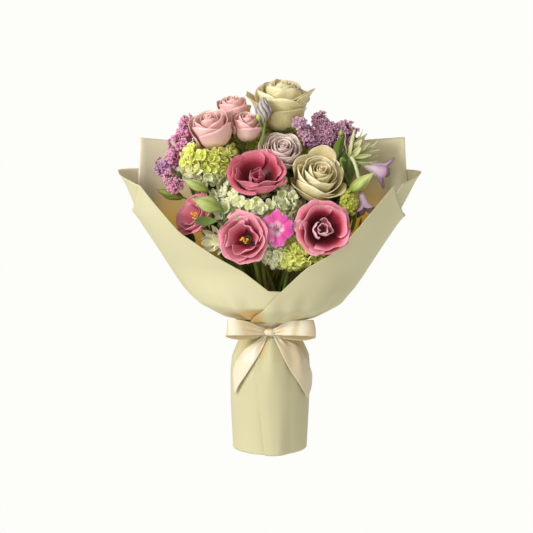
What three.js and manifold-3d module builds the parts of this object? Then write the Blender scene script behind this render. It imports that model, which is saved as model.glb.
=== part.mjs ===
// A hand-tied mixed bouquet in cream paper: four sheets round the flowers, a rolled paper foot, a satin bow.
// Millimetres. X right, Y away from the front, +Z up. The origin is on the floor under the middle of the foot.
import * as THREE from 'three';
import Module from 'manifold-3d';
import { mergeVertices } from 'three/addons/utils/BufferGeometryUtils.js';

const wasm = await Module();
wasm.setup();

// ---------------------------------------------------------------- driving dimensions
const GAP = 0.3; // clearance between pieces that touch
const PAPER = 0.8; // thickness of a paper sheet
const PETAL = 1.1; // thickness of a petal
const LEAF = 1.0; // thickness of a leaf
const STEM_RADIUS = 3.0; // a stem at the tie
const STEM_SIDES = 5;
const STEM_TIP = 2.0; // a stem just under its flower
const STEM_GAP = 0.5; // between neighbouring stems at the tie
const TIE_Z = 162; // height of the tie
const TIE_WIDTH = 5;
const TIE_RADIUS = 23.3; // outside of the tie
const FOOT_SPREAD = 2.3; // how far the stems spread from the tie to the floor
const FOOT_TWIST = THREE.MathUtils.degToRad(30); // the spiral of a hand-tied bunch
const LAYER_STEP = 1.7; // from one paper layer to the next at the neck
const LAYER_LOOSE = 3.8; // and at the open end
const FRONT_DEPTH = 0.62; // depth of the funnel over its half width, in front
const BACK_DEPTH = 0.525; // and behind

// Half width of the paper funnel by height.
const FUNNEL = [[150, 28.7], [168.5, 28.7], [175, 60], [194, 97], [212, 113], [228, 124], [271, 151], [311, 177],
  [405, 221]];
const FUNNEL_LEAN = -2.8; // how far the lower funnel stands to the left
// Radius of the rolled paper foot by height.
const FOOT = [[0, 47.5], [60, 50.8], [104, 51.2], [123, 49.2], [140, 41.5], [151, 32], [158, 30.4], [168, 30.4]];

// ---------------------------------------------------------------- small helpers
const { lerp, degToRad, clamp, smoothstep } = THREE.MathUtils;
const point = (x, y, z) => new THREE.Vector3(x, y, z);
const UP = point(0, 0, 1);

/** Straight-line reading of a table of [key, value, ...] rows. */
function read(rows, key) {
  let row = 1;
  while (row < rows.length - 1 && rows[row][0] < key) row += 1;
  const [low, high] = [rows[row - 1], rows[row]];
  const share = clamp((key - low[0]) / (high[0] - low[0]), 0, 1);
  return low.slice(1).map((value, column) => lerp(value, high[column + 1], share));
}

/** Seeded random numbers from 0 to 1. */
function dice(seed) {
  let state = seed;
  return () => {
    state = (state * 1664525 + 1013904223) % 4294967296;
    return state / 4294967296;
  };
}

/** An indexed geometry from points and triangles. */
function meshOf(points, triangles) {
  const geometry = new THREE.BufferGeometry();
  const numbers = points.flatMap((p) => [p.x, p.y, p.z]);
  geometry.setAttribute('position', new THREE.Float32BufferAttribute(numbers, 3));
  geometry.setIndex(triangles.flat());
  return geometry;
}

/** A closed thin solid round middle(u, v), u and v from 0 to 1, both faces split into triangles alike. */
function sheet(middle, columns, rows, thickness) {
  const near = 1e-3;
  const outer = [];
  const inner = [];
  for (let row = 0; row <= rows; row += 1) {
    for (let column = 0; column <= columns; column += 1) {
      const [u, v] = [column / columns, row / rows];
      const across = middle(Math.min(1, u + near), v).sub(middle(Math.max(0, u - near), v));
      const along = middle(u, Math.min(1, v + near)).sub(middle(u, Math.max(0, v - near)));
      const normal = across.cross(along).normalize().multiplyScalar(thickness / 2);
      outer.push(middle(u, v).add(normal));
      inner.push(middle(u, v).sub(normal));
    }
  }
  const count = outer.length;
  const at = (column, row) => row * (columns + 1) + column;
  const triangles = [];
  for (let row = 0; row < rows; row += 1) {
    for (let column = 0; column < columns; column += 1) {
      const [a, b] = [at(column, row), at(column + 1, row)];
      const [c, d] = [at(column + 1, row + 1), at(column, row + 1)];
      triangles.push([a, b, c], [a, c, d]);
      triangles.push([a + count, c + count, b + count], [a + count, d + count, c + count]);
    }
  }
  const edge = [];
  for (let column = 0; column < columns; column += 1) edge.push(at(column, 0));
  for (let row = 0; row < rows; row += 1) edge.push(at(columns, row));
  for (let column = columns; column > 0; column -= 1) edge.push(at(column, rows));
  for (let row = rows; row > 0; row -= 1) edge.push(at(0, row));
  edge.forEach((p, index) => {
    const q = edge[(index + 1) % edge.length];
    triangles.push([q, p, p + count], [q, p + count, q + count]);
  });
  return meshOf([...outer, ...inner], triangles);
}

/** A closed solid through rings of equal count, each turning anticlockwise seen from the far end. */
function loft(rings) {
  const sides = rings[0].length;
  const triangles = [];
  for (let ring = 0; ring < rings.length - 1; ring += 1) {
    for (let side = 0; side < sides; side += 1) {
      const next = (side + 1) % sides;
      const [a, b] = [ring * sides + side, ring * sides + next];
      triangles.push([a, b, b + sides], [a, b + sides, a + sides]);
    }
  }
  const last = (rings.length - 1) * sides;
  for (let side = 1; side < sides - 1; side += 1) {
    triangles.push([0, side + 1, side], [last, last + side, last + side + 1]);
  }
  return meshOf(rings.flat(), triangles);
}

/** A ring of points round a centre, square to a direction. */
function ring(centre, direction, radius, sides) {
  const first = point(1, 0, 0).projectOnPlane(direction).normalize();
  const second = direction.clone().cross(first).normalize();
  return Array.from({ length: sides }, (_, side) => {
    const angle = ((side + 0.5) / sides) * 2 * Math.PI;
    return centre.clone().addScaledVector(first, radius * Math.cos(angle))
      .addScaledVector(second, radius * Math.sin(angle));
  });
}

/** A tube through points, with a radius at each. */
function tube(points, radii, sides, ends = []) {
  const rings = points.map((centre, index) => {
    const before = points[Math.max(0, index - 1)];
    const after = points[Math.min(points.length - 1, index + 1)];
    const direction = ends[index] ?? after.clone().sub(before).normalize();
    return ring(centre, direction, radii[index], sides);
  });
  return loft(rings);
}

/** A lathe solid about +Z from a [radius, height] outline that starts and ends on the axis. */
function lathe(outline, sides) {
  const points = outline.map(([radius, height]) => new THREE.Vector2(radius, height));
  return new THREE.LatheGeometry(points, sides).rotateX(Math.PI / 2);
}

/** The solid of a closed geometry. */
function solid(geometry) {
  geometry.deleteAttribute('normal');
  geometry.deleteAttribute('uv');
  const merged = mergeVertices(geometry, 1e-4);
  return new wasm.Manifold(new wasm.Mesh({
    numProp: 3,
    vertProperties: merged.attributes.position.array,
    triVerts: Uint32Array.from(merged.index.array),
  }));
}

/** The geometries joined into one solid. */
function fuse(geometries) {
  return geometries.map(solid).reduce((whole, piece) => whole.add(piece));
}

/** The largest body of a solid: loose scraps are dropped. */
function largest(whole) {
  const bodies = whole.decompose();
  return bodies.reduce((best, body) => (body.volume() > best.volume() ? body : best));
}

/** The geometry of a solid, with the slivers that joining leaves merged away. */
function shape(whole, finest = 0.3) {
  const mesh = largest(whole.simplify(finest)).getMesh();
  const geometry = new THREE.BufferGeometry();
  geometry.setAttribute('position', new THREE.BufferAttribute(Float32Array.from(mesh.vertProperties), 3));
  geometry.setIndex(new THREE.BufferAttribute(Uint32Array.from(mesh.triVerts), 1));
  return geometry;
}

/** The turn and place of a flower: its own +Z goes along its axis. */
function pose(flower) {
  const turn = new THREE.Quaternion().setFromUnitVectors(UP, flower.axis);
  return { position: flower.base, turn };
}

// ---------------------------------------------------------------- finishes
const finish = (color, roughness) => new THREE.MeshStandardMaterial({ color, roughness, metalness: 0 });
const COLOURS = {
  paper: finish(0xe6e0b4, 0.75),
  satin: finish(0xf0e6cc, 0.35),
  twine: finish(0x9c8a5e, 0.9),
  stem: finish(0x57702c, 0.6),
  leaf: finish(0x4f7a2a, 0.5),
  whiteRose: finish(0xdcd7a4, 0.55),
  lilacRose: finish(0xccb7ac, 0.55),
  duskyRose: finish(0xd9a39c, 0.55),
  lisianthus: finish(0xd0607c, 0.5),
  whitePetal: finish(0xeceadb, 0.5),
  dianthus: finish(0xdc4fae, 0.55),
  limeHydrangea: finish(0xb7c45a, 0.6),
  whiteHydrangea: finish(0xdfe3af, 0.6),
  magentaStatice: finish(0xb866a0, 0.7),
  mauveStatice: finish(0x8b5a78, 0.7),
  mauvePetal: finish(0xb394a8, 0.5),
  bud: finish(0xb5c163, 0.5),
  stripedBud: finish(0x8d8378, 0.6),
  bract: finish(0xbcc088, 0.6),
};

// ---------------------------------------------------------------- flowers
// face: the middle of the open end. axis: where it looks. radius and height: its size.
// A flower's base is a height behind its face, and its stem starts there.
function flower(name, kind, face, axis, radius, height, colour, spin) {
  const direction = point(...axis).normalize();
  const base = point(...face).addScaledVector(direction, -height);
  return { name, kind, axis: direction, radius, height, colour, spin, base };
}

const CUPS = [
  flower('rose_white_top', 'rose', [15, 14, 480], [0.03, -0.2, 0.98], 33, 70, 'whiteRose', 0.4),
  flower('rose_white_right', 'rose', [65, -46, 373], [0.25, -0.66, 0.7], 32, 52, 'whiteRose', 1.1),
  flower('rose_lilac', 'rose', [17, -27, 401], [0.14, -0.7, 0.7], 25.5, 38, 'lilacRose', 2.0),
  flower('rose_dusky_left', 'rose', [-81, -31, 438], [-0.25, -0.45, 0.85], 28, 50, 'duskyRose', 0.2),
  flower('rose_dusky_high', 'rose', [-50, 20, 459], [-0.12, -0.25, 0.96], 22, 44, 'duskyRose', 0.9),
  flower('rose_dusky_low', 'rose', [-28, -16, 437], [0.14, -0.45, 0.88], 20, 38, 'duskyRose', 1.7),
  flower('lisianthus_top', 'lisianthus', [-16, -62, 372], [-0.05, -0.72, 0.69], 37, 36, 'lisianthus', 0.5),
  flower('lisianthus_left', 'lisianthus', [-36, -97, 289], [-0.25, -0.95, 0.2], 32, 34, 'lisianthus', 0.1),
  flower('lisianthus_right', 'lisianthus', [68, -88, 300], [0.1, -0.97, 0.2], 34, 34, 'lisianthus', 0.8),
  flower('lisianthus_side', 'lisianthus', [-105, -54, 318], [-0.72, -0.5, 0.48], 29, 36, 'lisianthus', 1.3),
  flower('lisianthus_white', 'lisianthus', [-77, -70, 280], [-0.5, -0.85, 0.1], 20, 24, 'whitePetal', 0.3),
  flower('lisianthus_back', 'lisianthus', [92, 46, 392], [0.5, 0.45, 0.74], 31, 34, 'lisianthus', 2.2),
  flower('rose_back', 'rose', [-84, 44, 414], [-0.4, 0.45, 0.8], 27, 42, 'duskyRose', 1.5),
  flower('dianthus', 'dianthus', [8, -84, 299], [0.05, -0.98, 0.2], 24, 20, 'dianthus', 0.6),
];

// Half width of the room that a cup-shaped bloom takes, by its share of the height, as a share of its radius.
const OPEN_ROOM = [[-0.02, 0.12], [0, 0.16], [0.2, 0.55], [0.45, 0.9], [0.7, 1.02], [1.03, 1.05]];
const ROSE_ROOM = [[-0.02, 0.14], [0, 0.22], [0.1, 0.6], [0.3, 0.98], [0.6, 1.05], [1.03, 1.05]];
const room = ({ kind }) => (kind === 'rose' ? ROSE_ROOM : OPEN_ROOM);

/** How far a place stands inside a bloom's room: negative is outside. Also the way out. */
function depthInCup(cup, place) {
  const offset = place.clone().sub(cup.base);
  const along = offset.dot(cup.axis);
  const sideways = offset.addScaledVector(cup.axis, -along);
  const share = along / cup.height;
  const form = room(cup);
  if (share < form[0][0] || share > form.at(-1)[0]) return { depth: -1e3, out: sideways };
  const half = read(form, share)[0] * cup.radius;
  return { depth: half - sideways.length(), out: sideways.normalize() };
}

/** The same room as a solid, grown by a margin. */
function cupRoom(cup, margin) {
  const outline = room(cup).map(([share, half]) => [half * cup.radius + margin, share * cup.height]);
  outline.unshift([0, outline[0][1] - margin]);
  outline[1][1] -= margin;
  outline.at(-1)[1] += margin;
  outline.push([0, outline.at(-1)[1]]);
  const { position, turn } = pose(cup);
  const placed = new THREE.Matrix4().compose(position, turn, point(1, 1, 1));
  return solid(lathe(outline, 12)).transform(placed.toArray());
}

/** One petal: profile gives [radius, height] from root to rim, and one side lies over its neighbour. */
function petal({ turn, halfWidth, profile, rows, columns = 2, tilt = 0.12, rounding = 0.2 }) {
  return sheet((u, v) => {
    const side = 2 * u - 1;
    const reach = v * (1 - rounding * side * side);
    const [radius, height] = read(profile, reach);
    const width = halfWidth * (0.55 + 0.45 * smoothstep(reach, 0, 0.6));
    const angle = turn + side * width;
    const along = radius * (1 + tilt * side);
    return point(along * Math.cos(angle), along * Math.sin(angle), height);
  }, columns, rows, PETAL);
}

/** A whorl of petals, evenly round the axis. */
function whorl({ count, start, ...rest }) {
  const turns = Array.from({ length: count }, (_, index) => start + (index * 2 * Math.PI) / count);
  return turns.map((turn) => petal({ turn, ...rest }));
}

/** Scales a profile's [share, radius, height] rows to a bloom. */
const scaled = (rows, bloom) => rows.map(([share, r, h]) => [share, r * bloom.radius, h * bloom.height]);

/** A rose: reflexed outer petals, upright middle ones and a bud at the heart that all of them root in. */
function rose(bloom) {
  const outer = scaled([[0, 0.28, 0.11], [0.5, 0.92, 0.42], [1, 1.0, 0.88]], bloom);
  const middle = scaled([[0, 0.28, 0.26], [0.5, 0.54, 0.62], [1, 0.64, 0.95]], bloom);
  const inner = scaled([[0, 0.22, 0.4], [1, 0.38, 1.0]], bloom);
  const heart = [[0, 0], [0.16, 0], [0.38, 0.1], [0.33, 0.4], [0.07, 0.95], [0, 0.95]]
    .map(([r, h]) => [r * bloom.radius, h * bloom.height]);
  const far = bloom.radius > 25 ? 5 : 4;
  return fuse([
    lathe(heart, 5),
    ...whorl({ count: far, start: bloom.spin, halfWidth: degToRad(225 / far), profile: outer, rows: 2 }),
    ...whorl({ count: 3, start: bloom.spin + 0.5, halfWidth: degToRad(63), profile: middle, rows: 1 }),
    ...whorl({ count: 2, start: bloom.spin + 1.1, halfWidth: degToRad(60), profile: inner, rows: 1 }),
  ]);
}

/** A lisianthus: a wide cup of ruffled petals round a deep throat with its pistil. */
function lisianthus(bloom) {
  const outer = scaled([[0, 0.2, 0.12], [0.6, 0.7, 0.74], [1, 1.0, 0.86]], bloom);
  const inner = scaled([[0, 0.2, 0.2], [0.5, 0.38, 0.62], [1, 0.66, 0.97]], bloom);
  const throat = [[0, 0], [0.16, 0], [0.28, 0.14], [0.26, 0.3], [0.08, 0.34], [0.11, 0.7], [0, 0.78]]
    .map(([r, h]) => [r * bloom.radius, h * bloom.height]);
  return fuse([
    lathe(throat, 5),
    ...whorl({ count: 5, start: bloom.spin, halfWidth: degToRad(46), profile: outer, rows: 2 }),
    ...whorl({ count: 3, start: bloom.spin + 0.6, halfWidth: degToRad(62), profile: inner, rows: 1 }),
  ]);
}

/** A dianthus: five flat petals with toothed rims over a slim calyx. */
function dianthus(bloom) {
  const teeth = 4;
  const petals = Array.from({ length: 5 }, (_, index) => {
    const turn = bloom.spin + (index * 2 * Math.PI) / 5;
    return sheet((u, v) => {
      const side = 2 * u - 1;
      const tooth = 1 - 0.1 * (Math.round(u * teeth) % 2) * smoothstep(v, 0.5, 1);
      const along = bloom.radius * lerp(0.16, 1 - 0.06 * side * side, v) * tooth;
      const angle = turn + side * degToRad(38) * (0.6 + 0.4 * v);
      const height = bloom.height * (0.62 + 0.3 * Math.sin(v * 1.9)) + side * 1.6 * v;
      return point(along * Math.cos(angle), along * Math.sin(angle), height);
    }, teeth, 2, PETAL);
  });
  const calyx = [[0, 0], [0.16, 0], [0.26, 0.5], [0.26, 0.8], [0.1, 1], [0, 0.92]]
    .map(([r, h]) => [r * bloom.radius, h * bloom.height]);
  return fuse([lathe(calyx, 6), ...petals]);
}

const KINDS = { rose, lisianthus, dianthus };

// ---------------------------------------------------------------- heads of small florets
// Hydrangea heads: centre, half sizes, count and radius of florets, and the side that the stem enters.
const HEADS = [
  { name: 'hydrangea_lime', centre: [-78, -16, 378], half: [27, 22, 24], count: 17, floret: 9.5,
    axis: [-0.3, -0.4, 0.85], colour: 'limeHydrangea' },
  { name: 'hydrangea_white', centre: [-14, -37, 323], half: [47, 26, 28], count: 22, floret: 12.5,
    axis: [-0.05, -0.6, 0.8], colour: 'whiteHydrangea' },
  { name: 'hydrangea_low', centre: [27, -54, 268], half: [37, 19, 18], count: 15, floret: 11,
    axis: [0.1, -0.75, 0.6], colour: 'limeHydrangea' },
  { name: 'hydrangea_back', centre: [-14, 46, 394], half: [54, 26, 30], count: 19, floret: 12.5,
    axis: [0, 0.35, 0.93], colour: 'limeHydrangea' },
];
const CORE_SHARE = 0.8; // size of a head's core over the head

// Statice: clusters as [x, y, z, radius], and the spine that joins them as pairs of clusters.
const STATICE = [
  { name: 'statice_left', colour: 'magentaStatice', entry: 1,
    clusters: [[-107, 12, 422, 9], [-114, 2, 394, 13], [-134, 2, 366, 11], [-122, -26, 346, 8],
      [-116, 30, 402, 12]],
    spine: [[0, 1], [1, 2], [2, 3], [1, 4]] },
  { name: 'statice_right', colour: 'mauveStatice', entry: 3,
    clusters: [[34, 4, 420, 10], [54, 2, 404, 11], [64, 14, 427, 8], [75, 6, 413, 12], [94, 10, 413, 12],
      [102, 4, 398, 12], [74, -6, 400, 8]],
    spine: [[0, 1], [1, 3], [2, 3], [3, 4], [4, 5], [3, 6]] },
];

const GOLDEN = Math.PI * (3 - Math.sqrt(5));

/** Even directions over the part of a ball that looks along an axis. */
function spread(count, axis, cover) {
  const turn = new THREE.Quaternion().setFromUnitVectors(UP, axis);
  return Array.from({ length: count }, (_, index) => {
    const height = 1 - (cover * (index + 0.5)) / count;
    const flat = Math.sqrt(1 - height * height);
    const angle = index * GOLDEN;
    return point(flat * Math.cos(angle), flat * Math.sin(angle), height).applyQuaternion(turn);
  });
}

/** A lobed floret: a dished star whose pointed root sinks into its head. */
function floret({ centre, direction, radius, root, spin, lobes, notch }) {
  const turn = new THREE.Quaternion().setFromUnitVectors(UP, direction);
  const count = notch < 1 ? lobes * 2 : lobes;
  const rim = Array.from({ length: count }, (_, index) => {
    const deep = notch < 1 && index % 2 === 1;
    const reach = deep ? radius * notch : radius;
    const angle = spin + (index * 2 * Math.PI) / count;
    return point(reach * Math.cos(angle), reach * Math.sin(angle), deep ? -0.5 : 0.8);
  });
  const points = [...rim, point(0, 0, -1), point(0, 0, -root)];
  const triangles = rim.flatMap((_, a) => {
    const b = (a + 1) % count;
    return [[count, a, b], [count + 1, b, a]];
  });
  points.forEach((p) => p.applyQuaternion(turn).add(centre));
  return meshOf(points, triangles);
}

/** Whether a ball of a radius is clear of every bloom's room and every stem. */
function clear(place, radius, stems) {
  const inCup = CUPS.some((cup) => depthInCup(cup, place).depth > -radius);
  const atStem = stems.some((stem) => stem.legs.some((leg) => {
    const nearest = leg.closestPointToPoint(place, true, point());
    return nearest.distanceTo(place) < radius + STEM_RADIUS;
  }));
  return !inCup && !atStem;
}

/** A hydrangea head: florets stand out of a smaller core, cut back where a bloom or a stem needs the room. */
function hydrangea(head, stems) {
  const axis = point(...head.axis).normalize();
  const centre = point(...head.centre);
  const half = point(...head.half);
  const inside = half.clone().multiplyScalar(CORE_SHARE);
  const ball = new THREE.IcosahedronGeometry(1, 0).scale(...inside.toArray());
  let core = solid(ball.translate(...head.centre));
  const near = CUPS.filter((cup) => cup.base.distanceTo(centre) < 110);
  const random = dice(head.count);
  const own = stems.find((stem) => stem.name === head.name);
  const others = stems.filter((stem) => stem !== own);
  const florets = spread(head.count, axis, 1.75).map((direction) => {
    return { direction, place: direction.clone().multiply(half).add(centre), spin: random() * 3 };
  }).filter(({ place }) => clear(place, head.floret * 0.3, others));
  florets.forEach(({ direction, place, spin }) => {
    const root = half.length() * (1 - CORE_SHARE);
    const form = { centre: place, direction, radius: head.floret, root, spin, lobes: 4, notch: 0.55 };
    core = core.add(solid(floret(form)));
  });
  near.forEach((cup) => {
    core = core.subtract(cupRoom(cup, GAP));
  });
  stems.forEach((stem) => {
    core = core.subtract(stem.sleeve);
  });
  return largest(core);
}

/** A statice spray: trumpets stand out of small cores on a short spine. */
function statice(spray, stems) {
  const centres = spray.clusters.map(([x, y, z]) => point(x, y, z));
  const spine = spray.spine.map(([a, b]) => tube([centres[a], centres[b]], [3.5, 3.5], 3));
  const pieces = spray.clusters.flatMap(([, , , radius], index) => {
    const core = new THREE.OctahedronGeometry(radius * 0.85, 0).translate(...centres[index].toArray());
    const heads = spread(Math.round(radius * 0.3), UP, 1.5).map((direction) => {
      const centre = centres[index].clone().addScaledVector(direction, radius);
      return floret({ centre, direction, radius: 5, root: radius * 0.6, spin: index, lobes: 4, notch: 1 });
    });
    return [core, ...heads];
  });
  let whole = fuse([...spine, ...pieces]);
  CUPS.filter((cup) => centres.some((centre) => cup.base.distanceTo(centre) < 90)).forEach((cup) => {
    whole = whole.subtract(cupRoom(cup, GAP + 0.2));
  });
  stems.forEach((stem) => {
    whole = whole.subtract(stem.sleeve);
  });
  return largest(whole);
}

// ---------------------------------------------------------------- stems
// Sprays without a cup: where the stem ends, the way it points there, and what grows on it.
const SPRAYS = [
  { name: 'bud_spray', top: [-60, -50, 300], axis: [-0.4, -0.3, 0.87] },
  { name: 'lime_bud', top: [99, -53, 341], axis: [0.6, -0.2, 0.75] },
  { name: 'striped_bud', top: [-8, -21, 424], axis: [0, -0.1, 1] },
  { name: 'bract_fan', top: [97, -22, 379], axis: [0.75, -0.1, 0.65] },
  { name: 'alstroemeria', top: [112, -30, 352], axis: [0.5, -0.2, 0.85] },
  { name: 'leaf_spray', top: [86, -12, 380], axis: [0.3, -0.2, 0.93] },
  { name: 'foliage_left', top: [-56, 66, 370], axis: [-0.4, 0.4, 0.82] },
  { name: 'foliage_right', top: [50, 60, 362], axis: [0.4, 0.4, 0.82] },
];

const CALYX = 8; // length of the green cup under a flower
const CALYX_RADIUS = 5; // and its radius where the petals start
const BEND_SHARES = [0.44, 0.84]; // where a stem bends freely, as shares of its way down to the tie
const BENDS = BEND_SHARES.length;

/** Every stem's name, top, the way its flower looks, and its radius there. */
const STALKS = [
  ...CUPS.map(({ name, base, axis }) => ({ name, top: base, axis, cap: CALYX_RADIUS })),
  ...HEADS.map(({ name, centre, half, axis }) => {
    const direction = point(...axis).normalize();
    const drop = point(...half).multiply(direction).length() * CORE_SHARE * 0.7;
    return { name, top: point(...centre).addScaledVector(direction, -drop), axis: direction, cap: STEM_TIP };
  }),
  ...STATICE.map(({ name, clusters, entry }) => {
    const [x, y, z, radius] = clusters[entry];
    return { name, top: point(x, y, z - radius * 0.4), axis: point(0, 0, 1), cap: STEM_TIP };
  }),
  ...SPRAYS.map(({ name, top, axis }) => {
    return { name, top: point(...top), axis: point(...axis).normalize(), cap: STEM_TIP };
  }),
];

/** Places of the stems at the tie: a honeycomb from the middle out. */
function honeycomb(count) {
  const step = 2 * STEM_RADIUS * Math.sin((2 * Math.PI) / STEM_SIDES) + STEM_GAP;
  const places = [];
  for (let row = -6; row <= 6; row += 1) {
    for (let column = -6; column <= 6; column += 1) {
      places.push(new THREE.Vector2((column + row / 2) * step, (row * Math.sqrt(3) * step) / 2));
    }
  }
  return places.sort((a, b) => a.length() - b.length() || a.angle() - b.angle()).slice(0, count);
}

/** Gives each stem the place at the tie that lies most nearly under its flower. */
function assign(stalks) {
  const places = honeycomb(stalks.length);
  const wanted = stalks.map(({ top }) => new THREE.Vector2(top.x, top.y + 20).multiplyScalar(0.17));
  const cost = (stalk, place) => wanted[stalk].distanceToSquared(places[place]);
  const order = stalks.map((_, index) => index);
  let better = true;
  while (better) {
    better = false;
    for (let a = 0; a < order.length; a += 1) {
      for (let b = a + 1; b < order.length; b += 1) {
        const now = cost(a, order[a]) + cost(b, order[b]);
        const swapped = cost(a, order[b]) + cost(b, order[a]);
        if (swapped < now - 1e-9) {
          [order[a], order[b]] = [order[b], order[a]];
          better = true;
        }
      }
    }
  }
  return order.map((place) => places[place]);
}

/** First route of a stem: out of the flower's back, then down into the tie. */
function firstRoute({ top, axis }, place) {
  const start = top.clone().addScaledVector(axis, -GAP);
  const neck = start.clone().addScaledVector(axis, -CALYX);
  const tie = point(place.x, place.y, TIE_Z);
  const span = neck.distanceTo(tie);
  const leave = neck.clone().addScaledVector(axis, -span * 0.14).add(point(0, 0, -span * 0.2));
  const arrive = tie.clone().add(point(place.x * 1.2, place.y * 1.2, span * 0.35));
  const curve = new THREE.CubicBezierCurve3(neck, leave, arrive, tie);
  return [start, neck, ...BEND_SHARES.map((share) => curve.getPoint(share)), tie];
}

/** How thick a stem is at a point of its route. */
function thickness(route, index) {
  return index < 1 ? route.cap : lerp(STEM_TIP, STEM_RADIUS, (index - 1) / (BENDS + 1));
}

/** Closest points of two segments, as shares along each. */
function closest(a0, a1, b0, b1) {
  const [da, db, r] = [a1.clone().sub(a0), b1.clone().sub(b0), a0.clone().sub(b0)];
  const [a, e, f, c, b] = [da.dot(da), db.dot(db), db.dot(r), da.dot(r), da.dot(db)];
  const denominator = a * e - b * b;
  let s = denominator > 1e-9 ? clamp((b * f - c * e) / denominator, 0, 1) : 0.5;
  const t = clamp((b * s + f) / e, 0, 1);
  s = clamp((b * t - c) / a, 0, 1);
  return [s, t];
}

/** Bends the free points until no stem touches another, a bloom's room or a head's core. */
function settle(routes) {
  const free = (index) => index > 1 && index <= BENDS + 1;
  const move = (route, index, way, amount) => {
    if (free(index)) route.points[index].addScaledVector(way, amount);
  };
  for (let round = 0; round < 220; round += 1) {
    routes.forEach((a, first) => routes.slice(first + 1).forEach((b) => {
      for (let i = 0; i <= BENDS + 1; i += 1) {
        for (let j = 0; j <= BENDS + 1; j += 1) {
          const [a0, a1, b0, b1] = [a.points[i], a.points[i + 1], b.points[j], b.points[j + 1]];
          const [s, t] = closest(a0, a1, b0, b1);
          const way = a0.clone().lerp(a1, s).sub(b0.clone().lerp(b1, t));
          const need = 1.1 + lerp(thickness(a, i), thickness(a, i + 1), s)
            + lerp(thickness(b, j), thickness(b, j + 1), t);
          const short = need - way.length();
          if (short > 0 && !(i === BENDS + 1 && j === BENDS + 1 && s > 0.9)) {
            way.normalize();
            move(a, i, way, short * (1 - s) * 0.5);
            move(a, i + 1, way, short * s * 0.5);
            move(b, j, way, -short * (1 - t) * 0.5);
            move(b, j + 1, way, -short * t * 0.5);
          }
        }
      }
    }));
    routes.forEach((route) => {
      for (let i = 1; i <= BENDS + 1; i += 1) {
        for (let share = 0.1; share < 1; share += 0.2) {
          const place = route.points[i].clone().lerp(route.points[i + 1], share);
          const margin = lerp(thickness(route, i), thickness(route, i + 1), share) + 1.5;
          CUPS.filter((cup) => cup.name !== route.name).forEach((cup) => {
            const { depth, out } = depthInCup(cup, place);
            if (depth > -margin) {
              move(route, i, out, (depth + margin) * (1 - share) * 0.6);
              move(route, i + 1, out, (depth + margin) * share * 0.6);
            }
          });
          HEADS.filter((head) => head.name !== route.name).forEach((head) => {
            const offset = place.clone().sub(point(...head.centre)).divide(point(...head.half));
            const deep = CORE_SHARE + 0.2 - offset.length();
            if (deep > 0) {
              offset.normalize();
              const amount = deep * Math.min(...head.half);
              move(route, i, offset, amount * (1 - share) * 0.5);
              move(route, i + 1, offset, amount * share * 0.5);
            }
          });
        }
      }
    });
  }
}

/** All stems: the route, its straight legs, and a slightly wider sleeve that cuts its way through heads. */
function growStems() {
  const places = assign(STALKS);
  const routes = STALKS.map((stalk, index) => {
    return { ...stalk, points: firstRoute(stalk, places[index]) };
  });
  settle(routes);
  return routes.map((route, index) => {
    const turned = places[index].clone().rotateAround(new THREE.Vector2(), FOOT_TWIST);
    turned.multiplyScalar(FOOT_SPREAD);
    const points = [...route.points, point(turned.x, turned.y, 0)];
    const radii = points.map((_, at) => (at > BENDS + 2 ? STEM_RADIUS : thickness(route, at)));
    const down = point(0, 0, -1);
    const ends = [route.axis.clone().negate(), route.axis.clone().negate()];
    ends[BENDS + 2] = down;
    ends[BENDS + 3] = down;
    const legs = points.slice(1).map((p, at) => new THREE.Line3(points[at], p));
    const wide = radii.map((radius) => radius + GAP * 1.5);
    const longer = points[0].clone().addScaledVector(route.axis, GAP);
    return {
      name: route.name,
      axis: route.axis,
      points,
      legs,
      geometry: tube(points, radii, STEM_SIDES, ends),
      sleeve: solid(tube([longer, ...points.slice(1)], wide, STEM_SIDES, ends)),
    };
  });
}
const stems = growStems();

// ---------------------------------------------------------------- buds, bracts, leaves and alstroemeria
/** A pointed bud from its base to its tip. */
function bud(base, tip, width, sides = 5) {
  const form = [[0, 0.3], [0.2, 0.85], [0.5, 1], [0.8, 0.6], [1, 0.1]];
  const points = form.map(([share]) => base.clone().lerp(tip, share));
  return tube(points, form.map(([, size]) => (size * width) / 2), sides);
}

/** A leaf from its base to its tip, folded a little along its middle; side is the way across it. */
function leaf(base, tip, width, side) {
  const along = tip.clone().sub(base);
  const across = side.clone().projectOnPlane(along.clone().normalize()).normalize();
  const lift = along.clone().cross(across).normalize();
  return sheet((u, v) => {
    const half = (width / 2) * (0.14 + 0.86 * Math.sin(Math.PI * Math.min(0.97, v * 0.93 + 0.05)));
    const bend = Math.sin(Math.PI * v) * along.length() * 0.07 + Math.abs(2 * u - 1) * half * 0.3;
    return base.clone().addScaledVector(along, v).addScaledVector(across, (2 * u - 1) * half)
      .addScaledVector(lift, bend);
  }, 2, 3, LEAF);
}

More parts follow.
